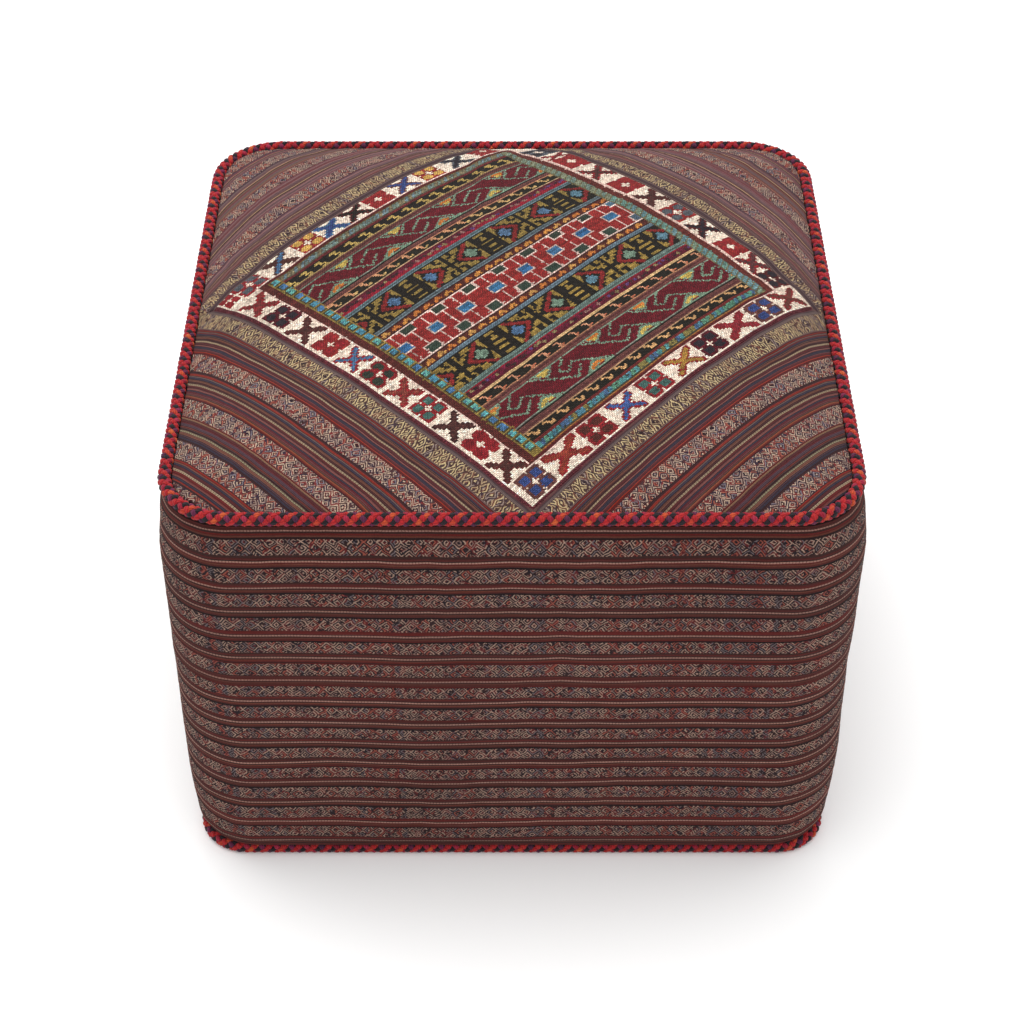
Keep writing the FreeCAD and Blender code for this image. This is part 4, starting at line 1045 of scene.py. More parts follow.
def rows_for(stripes, start, stop, shift, step=1.5):
    """Row positions: two rows to a stripe, more across a patterned band."""
    rows, owner = [], []
    a = start
    first = True
    for end, yarn in stripes:
        end = end + (shift if end > 6 else 0)
        if end <= a:
            continue
        end = min(end, stop)
        if yarn in ("cream", "straw", "gold", "bgold") and end - a > 1.2:
            # a narrow light line, with a thin dark row of painted shade on each side where the surface dips
            rows += [(a, 0.0), (a + 0.3, 1.0)]
            owner += [("line", a, a + 0.3), (yarn, a + 0.3, end - 0.3)]
            rows.append((end - 0.3, 0.0))
            owner.append(("line", end - 0.3, end))
            a = end
            if a >= stop - 1e-6:
                break
            continue
        # painted shade: each plain stripe ends in a thin dark 'line' row where the surface dips to the next stripe
        if yarn not in "AB" and yarn not in ("dark", "ink", "seam") and end - a > 1.1:
            rows += [(a, 0.0), (a + (end - a - 0.4) * 0.5, 1.0), (end - 0.4, 0.3)]
            owner += [(yarn, a, end), (yarn, a, end), ("line", end - 0.4, end)]
            a = end
            if a >= stop - 1e-6:
                break
            continue
        n = max(2, int(round((end - a) / step))) if yarn in "AB" else (2 if end - a < 3.2 else 3)
        for k in range(n):
            rows.append((a + (end - a) * k / n, 0.0 if k == 0 else 1.0))
            owner.append((yarn, a, end))
        a = end
        if a >= stop - 1e-6:
            break
    rows.append((stop, 0.0))
    return rows, owner


def tones(yarn):
    """Yarn colour, with the differences inside the pale lots drawn out."""
    c = np.array(Y[yarn], float)
    if yarn[0] == "b" and yarn not in ("brown",):
        mid = np.array((122, 88, 83))
        c = mid + 1.75 * (c - mid) + 10
    else:
        c = c * 1.06 + 2
    return tuple(np.clip(c, 20, 250))


def build_corner(name, a, b, sx, sy, ang, stripes, shift):
    a, b = np.array(a), np.array(b)
    nrm = np.array((sx * math.cos(ang), sy * math.sin(ang)))
    tan = np.array((-nrm[1], nrm[0]))
    if tan @ (b - a) < 0:
        tan = -tan
    ca, cb = nrm @ a, nrm @ b
    ta, tb = tan @ a, tan @ b
    c0 = (ca + cb) / 2
    planes = []
    half, corner = TOP_INSIDE, INSIDE_CORNER
    for k in range(48):
        th = math.pi / 2 * (k + 0.5) / 48
        n = (sx * math.cos(th), sy * math.sin(th))
        centre = (sx * (half - corner), sy * (half - corner))
        planes.append((n, n[0] * centre[0] + n[1] * centre[1] + corner))
    planes += [((1, 0), half), ((-1, 0), half), ((0, 1), half), ((0, -1), half)]
    side_pt, end_pt = (a, b) if abs(a[0]) > abs(a[1]) else (b, a)
    planes.append(((0, -sy), -sy * side_pt[1]))
    planes.append(((-sx, 0), -sx * end_pt[0]))
    # furthest point outwards
    far = sx * (half - corner) * nrm[0] + sy * (half - corner) * nrm[1] + corner - c0
    rows, owner = rows_for(stripes, 0.0, far - 0.25, shift)
    nc = 150
    w = np.linspace(0, 1, nc + 1)
    P, UV, H = [], [], []
    for s, crest in rows:
        # the first rows follow the diamond's own edge, which is not quite parallel
        fade = max(0.0, 1 - s / 30.0)
        base = c0 + s
        mid = nrm * base
        ch = chord(mid, tan, planes)
        if ch is None:
            ch = (0.0, 0.0)
        t = ch[0] + (ch[1] - ch[0]) * w
        edge = ca + (cb - ca) * (t - ta) / (tb - ta)
        off = (edge - c0) * fade
        x = nrm[0] * (base + off) + tan[0] * t
        y = nrm[1] * (base + off) + tan[1] * t
        # stripes waver a little, less near the panel's ends
        ends = np.clip(np.minimum(t - ch[0], ch[1] - t) / 14.0, 0, 1)
        wav = ends * min(1.0, s / 12.0) * min(1.0, max(0.0, (far - s) / 14)) * (
            0.75 * stripe_wave(t + 700, s * 0.6 + 300 * sx + 900) + 0.28 * stripe_wave2(t + 700, s + 300 * sy + 900))
        x, y = x + nrm[0] * wav, y + nrm[1] * wav
        if s < 0.01:
            # exactly on the diamond's edge
            f = np.clip((t - ta) / (tb - ta), 0, 1)
            x, y = a[0] + (b[0] - a[0]) * f, a[1] + (b[1] - a[1]) * f
            y = np.clip(y, -TOP_INSIDE, TOP_INSIDE)
        P.append((x, y))
        UV.append(np.stack([t, np.full_like(t, s)], -1))
        H.append(np.full_like(t, crest))
    x = np.array([p[0] for p in P])
    y = np.array([p[1] for p in P])
    uv = np.array(UV)
    h = np.array(H)
    rngp = np.random.default_rng(abs(hash_name(name)))
    lift = np.zeros_like(h)
    for r, (s, crest) in enumerate(rows):
        yarn = owner[min(r, len(owner) - 1)][0]
        if yarn in "AB":
            lift[r] = 0.10 + 0.10 * crest
        else:
            lift[r] = -0.16 + {"cream": 0.5, "bgold": 0.4, "gold": 0.4, "straw": 0.5, "dark": 0.12, "seam": 0.1, "ink": 0.0}.get(yarn, 0.30) * crest
    lift = lift + 0.035 * rngp.standard_normal(lift.shape)
    # sunk along the diamond seam and along the mitre seams
    s_col = np.array([r[0] for r in rows])[:, None]
    lift = lift - 1.1 * np.exp(-(s_col / 1.6) ** 2)
    dm = np.minimum(np.abs(y - side_pt[1]), np.abs(x - end_pt[0]))
    lift = lift - 0.9 * np.exp(-(dm / 1.5) ** 2)
    pts = on_top(x, y, lift).reshape(-1, 3)
    nr = len(rows)
    idx = np.arange(nr * (nc + 1)).reshape(nr, nc + 1)
    quads = np.stack([idx[:-1, :-1], idx[1:, :-1], idx[1:, 1:], idx[:-1, 1:]], -1).reshape(-1, 4)
    # upward-facing order
    q = quads[len(quads) // 3]
    e1, e2 = pts[q[1]] - pts[q[0]], pts[q[3]] - pts[q[0]]
    if np.cross(e1, e2)[2] < 0:
        quads = quads[:, ::-1]
    cols, fx = [], []
    for yarn, lo, hi in owner:
        base = wool(tones(yarn)) if yarn in Y else (0.2, 0.15, 0.12)
        dash = 1.0 if yarn in ("cream", "straw") else (0.4 if yarn in ("gold", "bgold") else 0.0)
        cols.append(base)
        fx.append((dash, 1.0 if yarn in "AB" else 0.0, 1.0 if yarn == "A" else 0.0))
    cols = np.repeat(np.array(cols), nc, axis=0)
    fx = np.repeat(np.array(fx), nc, axis=0)
    both = np.concatenate([cols, fx], 1)
    verts, faces, both, uvv = add_skirt(pts, quads, both, uv.reshape(-1, 2), 3.2, inward=-0.3)
    ob = new_object(name.replace("corner_panel", "striped_corner"), verts, faces)
    face_colours(ob, "Col", both[:, :3])
    face_colours(ob, "Fx", both[:, 3:])
    set_uv(ob, "weave", uvv)
    return ob


def hash_name(s):
    h = 7
    for ch in s:
        h = (h * 31 + ord(ch)) % 1000003
    return h


corners = []
for node, (a, b, sx, sy, ang, stripes, shift) in PANELS.items():
    ob = build_corner(node, a, b, sx, sy, ang, stripes, shift)
    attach(ob, "pouf")
    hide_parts(node)
    corners.append(ob)
print("corner panel faces", [len(o.data.polygons) for o in corners])

# ---------------------------------------------------------------- side band
# Heights of the black line under each group of stripes
BLACK_LINES = [306.6, 283.4, 260.4, 236.8, 214.8, 192.0, 170.4, 147.8, 126.2, 104.6, 83.0, 60.0, 36.2, 13.6]


def band_rows():
    """Stripes from the top down: (z of the lower edge, yarn)."""
    out = [(340.6, "dark"), (339.4, "wine"), (338.2, "maroon"), (337.2, "cream2"), (335.2, "dark2"), (334.2, "wine"), (333.0, "rust2"), (331.4, "dark")]
    top = 331.4
    for k, z in enumerate(BLACK_LINES):
        height = 11.0 if k else 11.6
        lattice_low = z + height
        out.append((lattice_low, "B"))
        for d, yarn in ((9.8, "dark2"), (7.6, "wine"), (6.8, "dark"), (5.4, "cream2"), (4.2, "dark2"), (2.9, "rust2"), (1.5, "wine"), (0.0, "black")):
            out.append((z + d, yarn))
    out.append((10.1, "wine"))
    return 341.8, out


Y2 = {"dark": (46, 28, 28), "dark2": (66, 40, 38), "wine": (90, 42, 40), "maroon": (82, 42, 40), "cream2": (180, 138, 126),
      "rust2": (112, 64, 54), "black": (30, 20, 22)}
band_wave = Noise(51, 120)
band_wave2 = Noise(52, 34)


def build_band():
    start, stripes = band_rows()
    z_rows, owner = [], []
    a = start
    for low, yarn in stripes:
        n = 7 if yarn == "B" else 2
        for k in range(n):
            z_rows.append((a + (low - a) * k / n, 0.0 if k == 0 else 1.0))
            owner.append(yarn)
        a = low
    z_rows.append((a, 0.0))
    # columns: even along the straights, closer round the corners
    run = BAND_HALF - BAND_CORNER
    arc = math.pi / 2 * BAND_CORNER
    s_cols = []
    pos = 0.0
    for k in range(4):
        s_cols += [pos + run * i / 34 for i in range(34)]
        pos += run
        s_cols += [pos + arc * i / 24 for i in range(24)]
        pos += arc
        s_cols += [pos + run * i / 34 for i in range(34)]
        pos += run
    s_cols = np.array(s_cols + [pos])
    nc = len(s_cols) - 1
    Z = np.array([z for z, _ in z_rows])[:, None]
    crest = np.array([c for _, c in z_rows])[:, None]
    S = s_cols[None, :]
    edge = np.clip(np.minimum(341.8 - Z, Z - 10.1) / 16.0, 0, 1)
    wave = edge * (1.5 * band_wave(S + 60, Z * 0.5 + 100) + 0.45 * band_wave2(S + 60, Z + 100))
    # same shift at the closing seam
    blend = smooth_step(S, BAND_LENGTH - 60, BAND_LENGTH)
    wave0 = edge * (1.5 * band_wave(60 + 0 * S, Z * 0.5 + 100) + 0.45 * band_wave2(60 + 0 * S, Z + 100))
    wave = wave * (1 - blend) + wave0 * blend
    Zw = Z + wave
    yarn_lift = []
    for r in range(len(z_rows)):
        yarn = owner[min(r, len(owner) - 1)]
        c = z_rows[r][1]
        yarn_lift.append(0.05 + 0.12 * c if yarn == "B" else -0.15 + (0.45 if yarn == "cream2" else 0.1 if yarn in ("dark", "black") else 0.28) * c)
    rngb = np.random.default_rng(61)
    lift = np.array(yarn_lift)[:, None] + 0.03 * rngb.standard_normal((len(z_rows), nc + 1))
    lift[:, -1] = lift[:, 0]
    sw = side_swell(S + 0 * Zw, Zw)
    sw0 = side_swell(0 * S + 0 * Zw, Zw)
    sw = sw * (1 - blend) + sw0 * blend
    # the closing seam at the back draws the cloth in
    ds = np.minimum(S, BAND_LENGTH - S)
    lift = lift - 1.0 * np.exp(-(ds / 1.8) ** 2)
    out = wall_out(Zw) + sw + lift
    out[0, :] = 246.2
    out[-1, :] = 246.7
    base, nor = rounded_square(BAND_HALF, BAND_CORNER, np.mod(S + 0 * Zw, BAND_LENGTH))
    p = base + nor * (out - BAND_HALF)[..., None]
    # flat sides: the offset is measured from the side's plane, so the corner stays round
    pts = np.concatenate([p, Zw[..., None]], -1)
    # turned-in hems above and below
    hem_top = pts[0].copy(); hem_top[:, :2] -= nor[0] * 2.2; hem_top[:, 2] -= 0.3
    hem_low = pts[-1].copy(); hem_low[:, :2] -= nor[0] * 2.4; hem_low[:, 2] += 0.2
    pts = np.concatenate([hem_top[None], pts, hem_low[None]], 0)
    uvg = np.stack([S + 0 * Z, Z + 0 * S], -1)
    uvg = np.concatenate([uvg[:1], uvg, uvg[-1:]], 0)
    owner = ["maroon"] + owner + ["wine"]
    nr = pts.shape[0]
    idx = np.arange(nr * (nc + 1)).reshape(nr, nc + 1)
    quads = np.stack([idx[:-1, :-1], idx[1:, :-1], idx[1:, 1:], idx[:-1, 1:]], -1).reshape(-1, 4)
    flat = pts.reshape(-1, 3)
    q = quads[len(quads) // 2 + 20]
    e1, e2 = flat[q[1]] - flat[q[0]], flat[q[3]] - flat[q[0]]
    c = np.cross(e1, e2)
    if c[0] * flat[q[0]][0] + c[1] * flat[q[0]][1] < 0:
        quads = quads[:, ::-1]
    cols = np.array([wool(Y2[y]) if y in Y2 else (0.1, 0.07, 0.06) for y in owner])
    fx = np.array([(1.0 if y == "cream2" else 0.0, 1.0 if y == "B" else 0.0, 0.0) for y in owner])
    cols, fx = np.repeat(cols, nc, axis=0), np.repeat(fx, nc, axis=0)
    ob = new_object("side_band_cover", flat, quads)
    face_colours(ob, "Col", cols)
    face_colours(ob, "Fx", fx)
    set_uv(ob, "weave", uvg.reshape(-1, 2))
    return ob


band = build_band()
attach(band, "pouf")
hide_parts("side_band")
print("band faces", len(band.data.polygons))

# ------------------------------------------------------------- braided cords
STRANDS_A = ["black", "red", "black", "orange"]
STRANDS_B = ["red", "crimson", "red", "plum"]


def braid(prefix, half, level, corner, node, leads, floor=None, seed=1):
    length = perimeter(half, corner)
    lead = length / leads
    crossings = leads * 8
    per = 4
    n = crossings * per
    s = np.arange(n) / n * length
    c2, nor = rounded_square(half, corner, s)
    rngc = np.random.default_rng(seed)
    wob = Noise(seed + 70, 9)
    ring = 8
    th = np.arange(ring) / ring * 2 * math.pi
    groups = {}
    for k in range(8):
        forward = k < 4
        i = k % 4
        sign = 1.0 if forward else -1.0
        phase = math.pi * 8 * s / lead
        over = np.cos(phase) * (1 if forward else -1)
        over = np.sign(over) * np.abs(over) ** 0.8
        w = s / length * 2 * math.pi * 40
        phi = sign * 2 * math.pi * s / lead + 2 * math.pi * i / 4 + 0.07 * np.sin(w * 2 + k) + 0.05 * np.sin(w * 5 + 2 * k)
        r = 3.06 + 0.90 * over + 0.08 * np.sin(w * 3 + 1.7 * k)
        cen = np.stack([c2[:, 0] + nor[:, 0] * r * np.cos(phi), c2[:, 1] + nor[:, 1] * r * np.cos(phi), level + r * np.sin(phi)], -1)
        rad = np.stack([nor[:, 0] * np.cos(phi), nor[:, 1] * np.cos(phi), np.sin(phi)], -1)
        tg = np.roll(cen, -1, axis=0) - np.roll(cen, 1, axis=0)
        tg /= np.linalg.norm(tg, axis=1, keepdims=True)
        wid = np.cross(tg, rad)
        wid /= np.linalg.norm(wid, axis=1, keepdims=True)
        rad2 = np.cross(wid, tg)
        # plump where it lies on top, pressed where it dives under
        aw = 1.86 + 0.14 * over + 0.06 * np.sin(w * 7 + 3 * k)
        bw = 1.10 + 0.10 * over
        ct, st = np.cos(th), np.sin(th)
        ct = np.sign(ct) * np.abs(ct) ** 0.85
        st = np.sign(st) * np.abs(st) ** 0.85
        pts = cen[:, None, :] + wid[:, None, :] * (aw[:, None] * ct[None])[..., None] + rad2[:, None, :] * (bw[:, None] * st[None])[..., None]
        if floor is not None:
            z = pts[..., 2]
            lowz = floor + 0.9
            pts[..., 2] = np.where(z < lowz, floor + (lowz - floor) * np.exp(-(lowz - z) / 2.2), z)
        uvv = np.stack([np.repeat(s[:, None], ring, 1) + 7 * k, np.repeat(th[None], n, 0)], -1)
        groups.setdefault((STRANDS_A if forward else STRANDS_B)[i], []).append((pts, uvv))
    made = []
    for colour, tubes in sorted(groups.items()):
        verts, faces, uvs = [], [], []
        base = 0
        for pts, uvv in tubes:
            idx = base + np.arange(n * ring).reshape(n, ring)
            nxt = np.roll(idx, -1, axis=0)
            faces.append(np.stack([idx, np.roll(idx, -1, axis=1), np.roll(nxt, -1, axis=1), nxt], -1).reshape(-1, 4))
            verts.append(pts.reshape(-1, 3))
            uvs.append(uvv.reshape(-1, 2))
            base += n * ring
        verts = np.concatenate(verts)
        faces = np.concatenate(faces)
        f = faces[5]
        e1, e2 = verts[f[1]] - verts[f[0]], verts[f[3]] - verts[f[0]]
        tube_centre = verts[(f[0] // ring) * ring:(f[0] // ring) * ring + ring].mean(0)
        if np.cross(e1, e2) @ (verts[f[0]] - tube_centre) < 0:
            faces = faces[:, ::-1]
        ob = new_object(prefix + "_" + colour, verts, faces)
        set_uv(ob, "yarn", np.concatenate(uvs))
        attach(ob, "pouf")
        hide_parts(node)
        made.append((ob, colour))
    return made


top_cord = braid("top_cord", TOP_HALF, TOP_LEVEL, TOP_CORNER, "top_braid", 80, seed=3)
low_cord = braid("bottom_cord", BOTTOM_HALF, BOTTOM_LEVEL, BOTTOM_CORNER, "bottom_braid", 80, floor=0.0, seed=4)
print("cord pieces", len(top_cord), len(low_cord), [len(o.data.polygons) for o, _ in top_cord])


# ----------------------------------------------------------------- materials
def wool_fuzz(n, colour, fuzz_scale=900.0, amount=0.16):
    """Fibre-scale and broad lightness variation on a yarn colour."""
    co = n.object_coords()
    fine = n.noise(fuzz_scale, 3.0, 0.65, co)
    broad = n.noise(14.0, 2.0, 0.5, co)
    val = n.math("ADD", n.math("MULTIPLY", n.math("SUBTRACT", fine, 0.5), amount * 2.2), 1.0)
    val = n.math("MULTIPLY", val, n.math("ADD", n.math("MULTIPLY", n.math("SUBTRACT", broad, 0.5), 0.22), 1.0))
    return n.hsv(colour, val, 1.0)


def kilim_material():
    n = Nodes("kilim_knots")
    col = n.attribute("Col").outputs["Color"]
    vec, u, v = n.uv("stitch")
    fu, fv = n.math("FRACT", u), n.math("FRACT", v)
    row = n.math("FLOOR", v)
    colu = n.math("FLOOR", u)
    # each stitch is a slanted wrap, and the slant turns over from row to row in places
    slant = n.math("SUBTRACT", n.math("MULTIPLY", n.math("GREATER_THAN", n.white(n.combine(0.0, n.math("FLOOR", n.math("DIVIDE", v, 9.0)), 3.0)), 0.35), 1.1), 0.55)
    uu = n.math("ADD", u, n.math("MULTIPLY", n.math("SUBTRACT", fv, 0.5), slant))
    uu = n.math("ADD", n.math("MULTIPLY", uu, 0.58), n.math("MULTIPLY", row, 0.5))
    wrap = n.math("ABSOLUTE", n.math("SINE", n.math("MULTIPLY", uu, math.pi)))
    line = n.math("ABSOLUTE", n.math("SINE", n.math("MULTIPLY", v, math.pi)))
    h = n.math("MULTIPLY", n.math("POWER", wrap, 0.5), n.math("POWER", line, 0.6))
    cell = n.white(n.combine(n.math("FLOOR", uu), row, 1.0))
    h = n.math("ADD", h, n.math("MULTIPLY", cell, 0.25))
    fibre = n.noise(1500.0, 2.0, 0.6)
    h2 = n.math("ADD", h, n.math("MULTIPLY", fibre, 0.25))
    # painted shade: the value follows the stitch height h, darker in the gaps between rows and between wraps; the cell
    # term adds random tone per stitch
    painted_gap_shade_and_tone = n.math("ADD", 0.52, n.math("MULTIPLY", h, 0.62))
    painted_gap_shade_and_tone = n.math("MULTIPLY", painted_gap_shade_and_tone, n.math("ADD", 0.86, n.math("MULTIPLY", cell, 0.30)))
    c = n.hsv(wool_fuzz(n, col, 1100.0, 0.12), painted_gap_shade_and_tone, 1.0)
    # handled and slightly soiled, in broad patches that vary at random
    worn = n.ramp(n.noise(6.0, 4.0, 0.6), [(0.35, (0.93, 0.92, 0.90)), (0.7, (1.04, 1.03, 1.0))])
    c = n.mix(1.0, c, worn, "MULTIPLY")
    rough = n.math("ADD", 0.78, n.math("MULTIPLY", fibre, 0.16))
    nb = n.bump(h2, 0.0012, 0.9)
    return n.finish(c, rough, nb, sheen=0.03, specular=0.08)


def stripe_material(name, side=False):
    """Warp-faced stripes, with bands of small chevrons where the Fx attribute says so."""
    n = Nodes(name)
    M = n.math
    col = n.attribute("Col").outputs["Color"]
    fxn = n.attribute("Fx")
    sep = n.t.nodes.new("ShaderNodeSeparateColor")
    n.t.links.new(fxn.outputs["Color"], sep.inputs[0])
    dash, lattice, golden = sep.outputs[0], sep.outputs[1], sep.outputs[2]
    vec, t, s = n.uv("weave")
    # ribs of the weft across the stripes
    rib = M("ABSOLUTE", M("SINE", M("MULTIPLY", t, math.pi / 0.95)))
    pick = n.white(n.combine(M("FLOOR", M("DIVIDE", t, 0.95)), M("FLOOR", M("DIVIDE", s, 0.7)), 2.0))
    # long slub variation along each yarn
    slub = n.noise(1.0, 3.0, 0.6, n.combine(M("MULTIPLY", t, 0.045), M("MULTIPLY", s, 1.4), 0.0))
    streak = n.noise(1.0, 2.0, 0.5, n.combine(M("MULTIPLY", t, 0.02), M("MULTIPLY", s, 0.9), 3.0))
    # single yarns: each has its own lightness, and its own place in the dye lot
    yarn = M("FLOOR", M("DIVIDE", s, 0.62))
    own = n.white(n.combine(yarn, 11.0, 1.0))
    own2 = n.white(n.combine(M("FLOOR", M("DIVIDE", s, 1.24)), 17.0, 1.0))
    groove = M("ABSOLUTE", M("SINE", M("MULTIPLY", s, math.pi / 1.24)))
    on = M("GREATER_THAN", M("FRACT", M("ADD", M("DIVIDE", t, 2.3), M("MULTIPLY", slub, 0.8))), 0.26)
    dash_dark = M("MULTIPLY", dash, M("SUBTRACT", 1.0, on))
    plain = n.mix(M("MULTIPLY", dash_dark, 0.6), col, wool((84, 46, 44)))
    red_yarn = M("MULTIPLY", M("GREATER_THAN", own2, 0.80), M("SUBTRACT", 1.0, dash))
    plain = n.mix(M("MULTIPLY", red_yarn, 0.55), plain, wool((124, 44, 42)))
    val = M("ADD", 0.60, M("MULTIPLY", slub, 0.46))
    val = M("ADD", val, M("MULTIPLY", own, 0.34))
    # painted shade: the value drops in the grooves between pairs of yarns
    val = M("MULTIPLY", val, M("ADD", 0.55, M("MULTIPLY", M("POWER", groove, 0.5), 0.58)))
    val = M("MULTIPLY", val, M("ADD", 0.92, M("MULTIPLY", pick, 0.16)))
    plain = n.hsv(plain, val, M("ADD", 0.90, M("MULTIPLY", streak, 0.30)))
    # bands of fine parallel zigzags that meet in small diamonds
    st, ss = (0.5, 0.5) if side else (0.42, 0.42)
    warp1 = n.noise(1.0, 2.0, 0.5, n.combine(M("MULTIPLY", t, 0.085), M("MULTIPLY", s, 0.15), 4.0))
    warp2 = n.noise(1.0, 2.0, 0.5, n.combine(M("MULTIPLY", t, 0.15), M("MULTIPLY", s, 0.13), 14.0))
    tq = M("MULTIPLY", M("FLOOR", M("DIVIDE", t, st)), st)
    sq = M("MULTIPLY", M("FLOOR", M("DIVIDE", s, ss)), ss)
    tw = M("ADD", tq, M("MULTIPLY", M("SUBTRACT", warp1, 0.5), 6.0))
    sw = M("ADD", sq, M("MULTIPLY", M("SUBTRACT", warp2, 0.5), 2.6))
    if side:
        wide, tall, gap = 4.4, 5.4, 2.45
    else:
        wide, tall, gap = 3.8, 5.6, 2.25
    zt = M("PINGPONG", tw, wide)
    zs = M("PINGPONG", sw, tall)
    steep = M("SUBTRACT", 1.0, M("MULTIPLY", golden, 0.5))
    run = M("DIVIDE", M("ADD", M("MULTIPLY", zs, steep), zt), M("SUBTRACT", gap, M("MULTIPLY", golden, 0.1)))
    ph = M("FRACT", run)
    line = M("LESS_THAN", ph, 0.42 if side else 0.45)
    cid = M("ADD", M("FLOOR", run), M("MULTIPLY", M("FLOOR", M("DIVIDE", tw, wide)), 7.0))
    cells = n.white(n.combine(M("FLOOR", M("DIVIDE", tw, wide)), M("FLOOR", run), 6.0))
    cellr = n.white(n.combine(cid, M("FLOOR", M("DIVIDE", sw, tall)), 5.0))
    lost = M("GREATER_THAN", n.white(n.combine(M("FLOOR", M("DIVIDE", tq, 2.0)), M("FLOOR", M("DIVIDE", sq, 2.0)), 8.0)), 0.90)
    line = M("MULTIPLY", line, M("SUBTRACT", 1.0, lost))
    core = M("LESS_THAN", M("ADD", zt, zs), 1.7)
    if side:
        pale = [(0.0, wool((194, 160, 142))), (0.45, wool((156, 124, 114))), (0.66, wool((172, 92, 76))), (0.86, wool((128, 114, 118)))]
        deep = [(0.0, wool((52, 32, 34))), (0.42, wool((38, 28, 36))), (0.70, wool((108, 38, 40)))]
    else:
        pale = [(0.0, wool((222, 192, 168))), (0.45, wool((188, 160, 148))), (0.70, wool((188, 108, 88))), (0.86, wool((148, 138, 148)))]
        deep = [(0.0, wool((84, 54, 56))), (0.42, wool((62, 46, 64))), (0.70, wool((134, 54, 54)))]
    gold_pale = [(0.0, wool((232, 206, 156))), (0.5, wool((200, 170, 134))), (0.8, wool((172, 150, 140)))]
    gold_deep = [(0.0, wool((88, 62, 58))), (0.5, wool((74, 56, 64))), (0.8, wool((124, 78, 66)))]
    pc = n.mix(golden, n.ramp(cells, pale, "CONSTANT"), n.ramp(cells, gold_pale, "CONSTANT"))
    dc = n.mix(golden, n.ramp(cellr, deep, "CONSTANT"), n.ramp(cellr, gold_deep, "CONSTANT"))
    dc = n.mix(M("MULTIPLY", core, 0.8), dc, wool((40, 26, 32)))
    lat = n.mix(line, dc, pc)
    lat = n.hsv(lat, M("ADD", 0.84, M("MULTIPLY", pick, 0.32)), 1.0)
    c = n.mix(lattice, plain, lat)
    c = wool_fuzz(n, c, 1000.0, 0.14)
    soil = n.ramp(n.noise(5.0, 4.0, 0.6), [(0.35, (0.92, 0.91, 0.90)), (0.7, (1.05, 1.04, 1.02))])
    c = n.mix(1.0, c, soil, "MULTIPLY")
    srib = M("ABSOLUTE", M("SINE", M("MULTIPLY", s, math.pi / 0.62)))
    fibre = n.noise(1500.0, 2.0, 0.6)
    hh = M("ADD", M("MULTIPLY", M("POWER", rib, 0.6), 0.35), M("MULTIPLY", M("POWER", srib, 0.5), 0.35))
    hh = M("ADD", hh, M("MULTIPLY", M("POWER", groove, 0.5), 0.4))
    hh = M("ADD", hh, M("MULTIPLY", M("MULTIPLY", line, lattice), 0.8))
    hh = M("ADD", hh, M("MULTIPLY", fibre, 0.3))
    nb = n.bump(hh, 0.0007, 0.85)
    rough = M("ADD", 0.80, M("MULTIPLY", fibre, 0.14))
    return n.finish(c, rough, nb, sheen=0.03, specular=0.08)


CORD_COLOURS = {
    "red": [(0.25, (160, 20, 32)), (0.55, (200, 36, 42)), (0.85, (214, 64, 44))],
    "orange": [(0.30, (150, 26, 60)), (0.44, (196, 40, 42)), (0.60, (222, 92, 46)), (0.85, (212, 124, 60))],
    "crimson": [(0.25, (110, 20, 44)), (0.5, (172, 28, 54)), (0.68, (190, 50, 84)), (0.85, (120, 50, 96))],
    "magenta": [(0.25, (150, 26, 70)), (0.55, (182, 44, 98)), (0.85, (112, 62, 112))],
    "plum": [(0.30, (60, 30, 56)), (0.48, (92, 36, 72)), (0.66, (150, 40, 84)), (0.85, (70, 50, 84))],
    "black": [(0.2, (26, 20, 26)), (0.6, (38, 28, 36)), (0.9, (54, 36, 44))],
    "navy": [(0.2, (34, 32, 52)), (0.6, (48, 42, 66)), (0.9, (66, 58, 84))],
}


def yarn_material(name, stops):
    n = Nodes(name)
    vec, s, a = n.uv("yarn")
    # twisted yarns in each strand: fine spiral ridges
    tw = n.math("SINE", n.math("ADD", n.math("MULTIPLY", s, 2 * math.pi / 1.5), n.math("MULTIPLY", a, 5.0)))
    ridge = n.math("POWER", n.math("ADD", n.math("MULTIPLY", tw, 0.5), 0.5), 0.7)
    patch = n.noise(1.0, 2.0, 0.5, n.combine(n.math("MULTIPLY", s, 0.035), 0.0, 0.0))
    fibre = n.noise(1400.0, 3.0, 0.65)
    f = n.math("ADD", n.math("MULTIPLY", patch, 0.8), n.math("MULTIPLY", fibre, 0.25))
    col = n.ramp(f, [(p, tuple(0.98 * x for x in wool(c))) for p, c in stops])
    # painted shade: the value drops between the spiral ridges of the twisted yarn
    val = n.math("ADD", 0.74, n.math("MULTIPLY", ridge, 0.34))
    val = n.math("MULTIPLY", val, n.math("ADD", 0.88, n.math("MULTIPLY", fibre, 0.26)))
    col = n.hsv(col, val, 1.0)
    h = n.math("ADD", ridge, n.math("MULTIPLY", fibre, 0.5))
    nb = n.bump(h, 0.0004, 0.9)
    return n.finish(col, n.math("ADD", 0.62, n.math("MULTIPLY", fibre, 0.2)), nb, sheen=0.06, specular=0.14)


m_kilim = kilim_material()
m_corner = stripe_material("striped_wool_top")
m_band = stripe_material("striped_wool_side", side=True)
shade(kilim, m_kilim)
for o in corners:
    shade(o, m_corner)
shade(band, m_band)
m_cord = {k: yarn_material("braid_yarn_" + k, v) for k, v in CORD_COLOURS.items()}
for o, k in top_cord + low_cord:
    shade(o, m_cord[k])


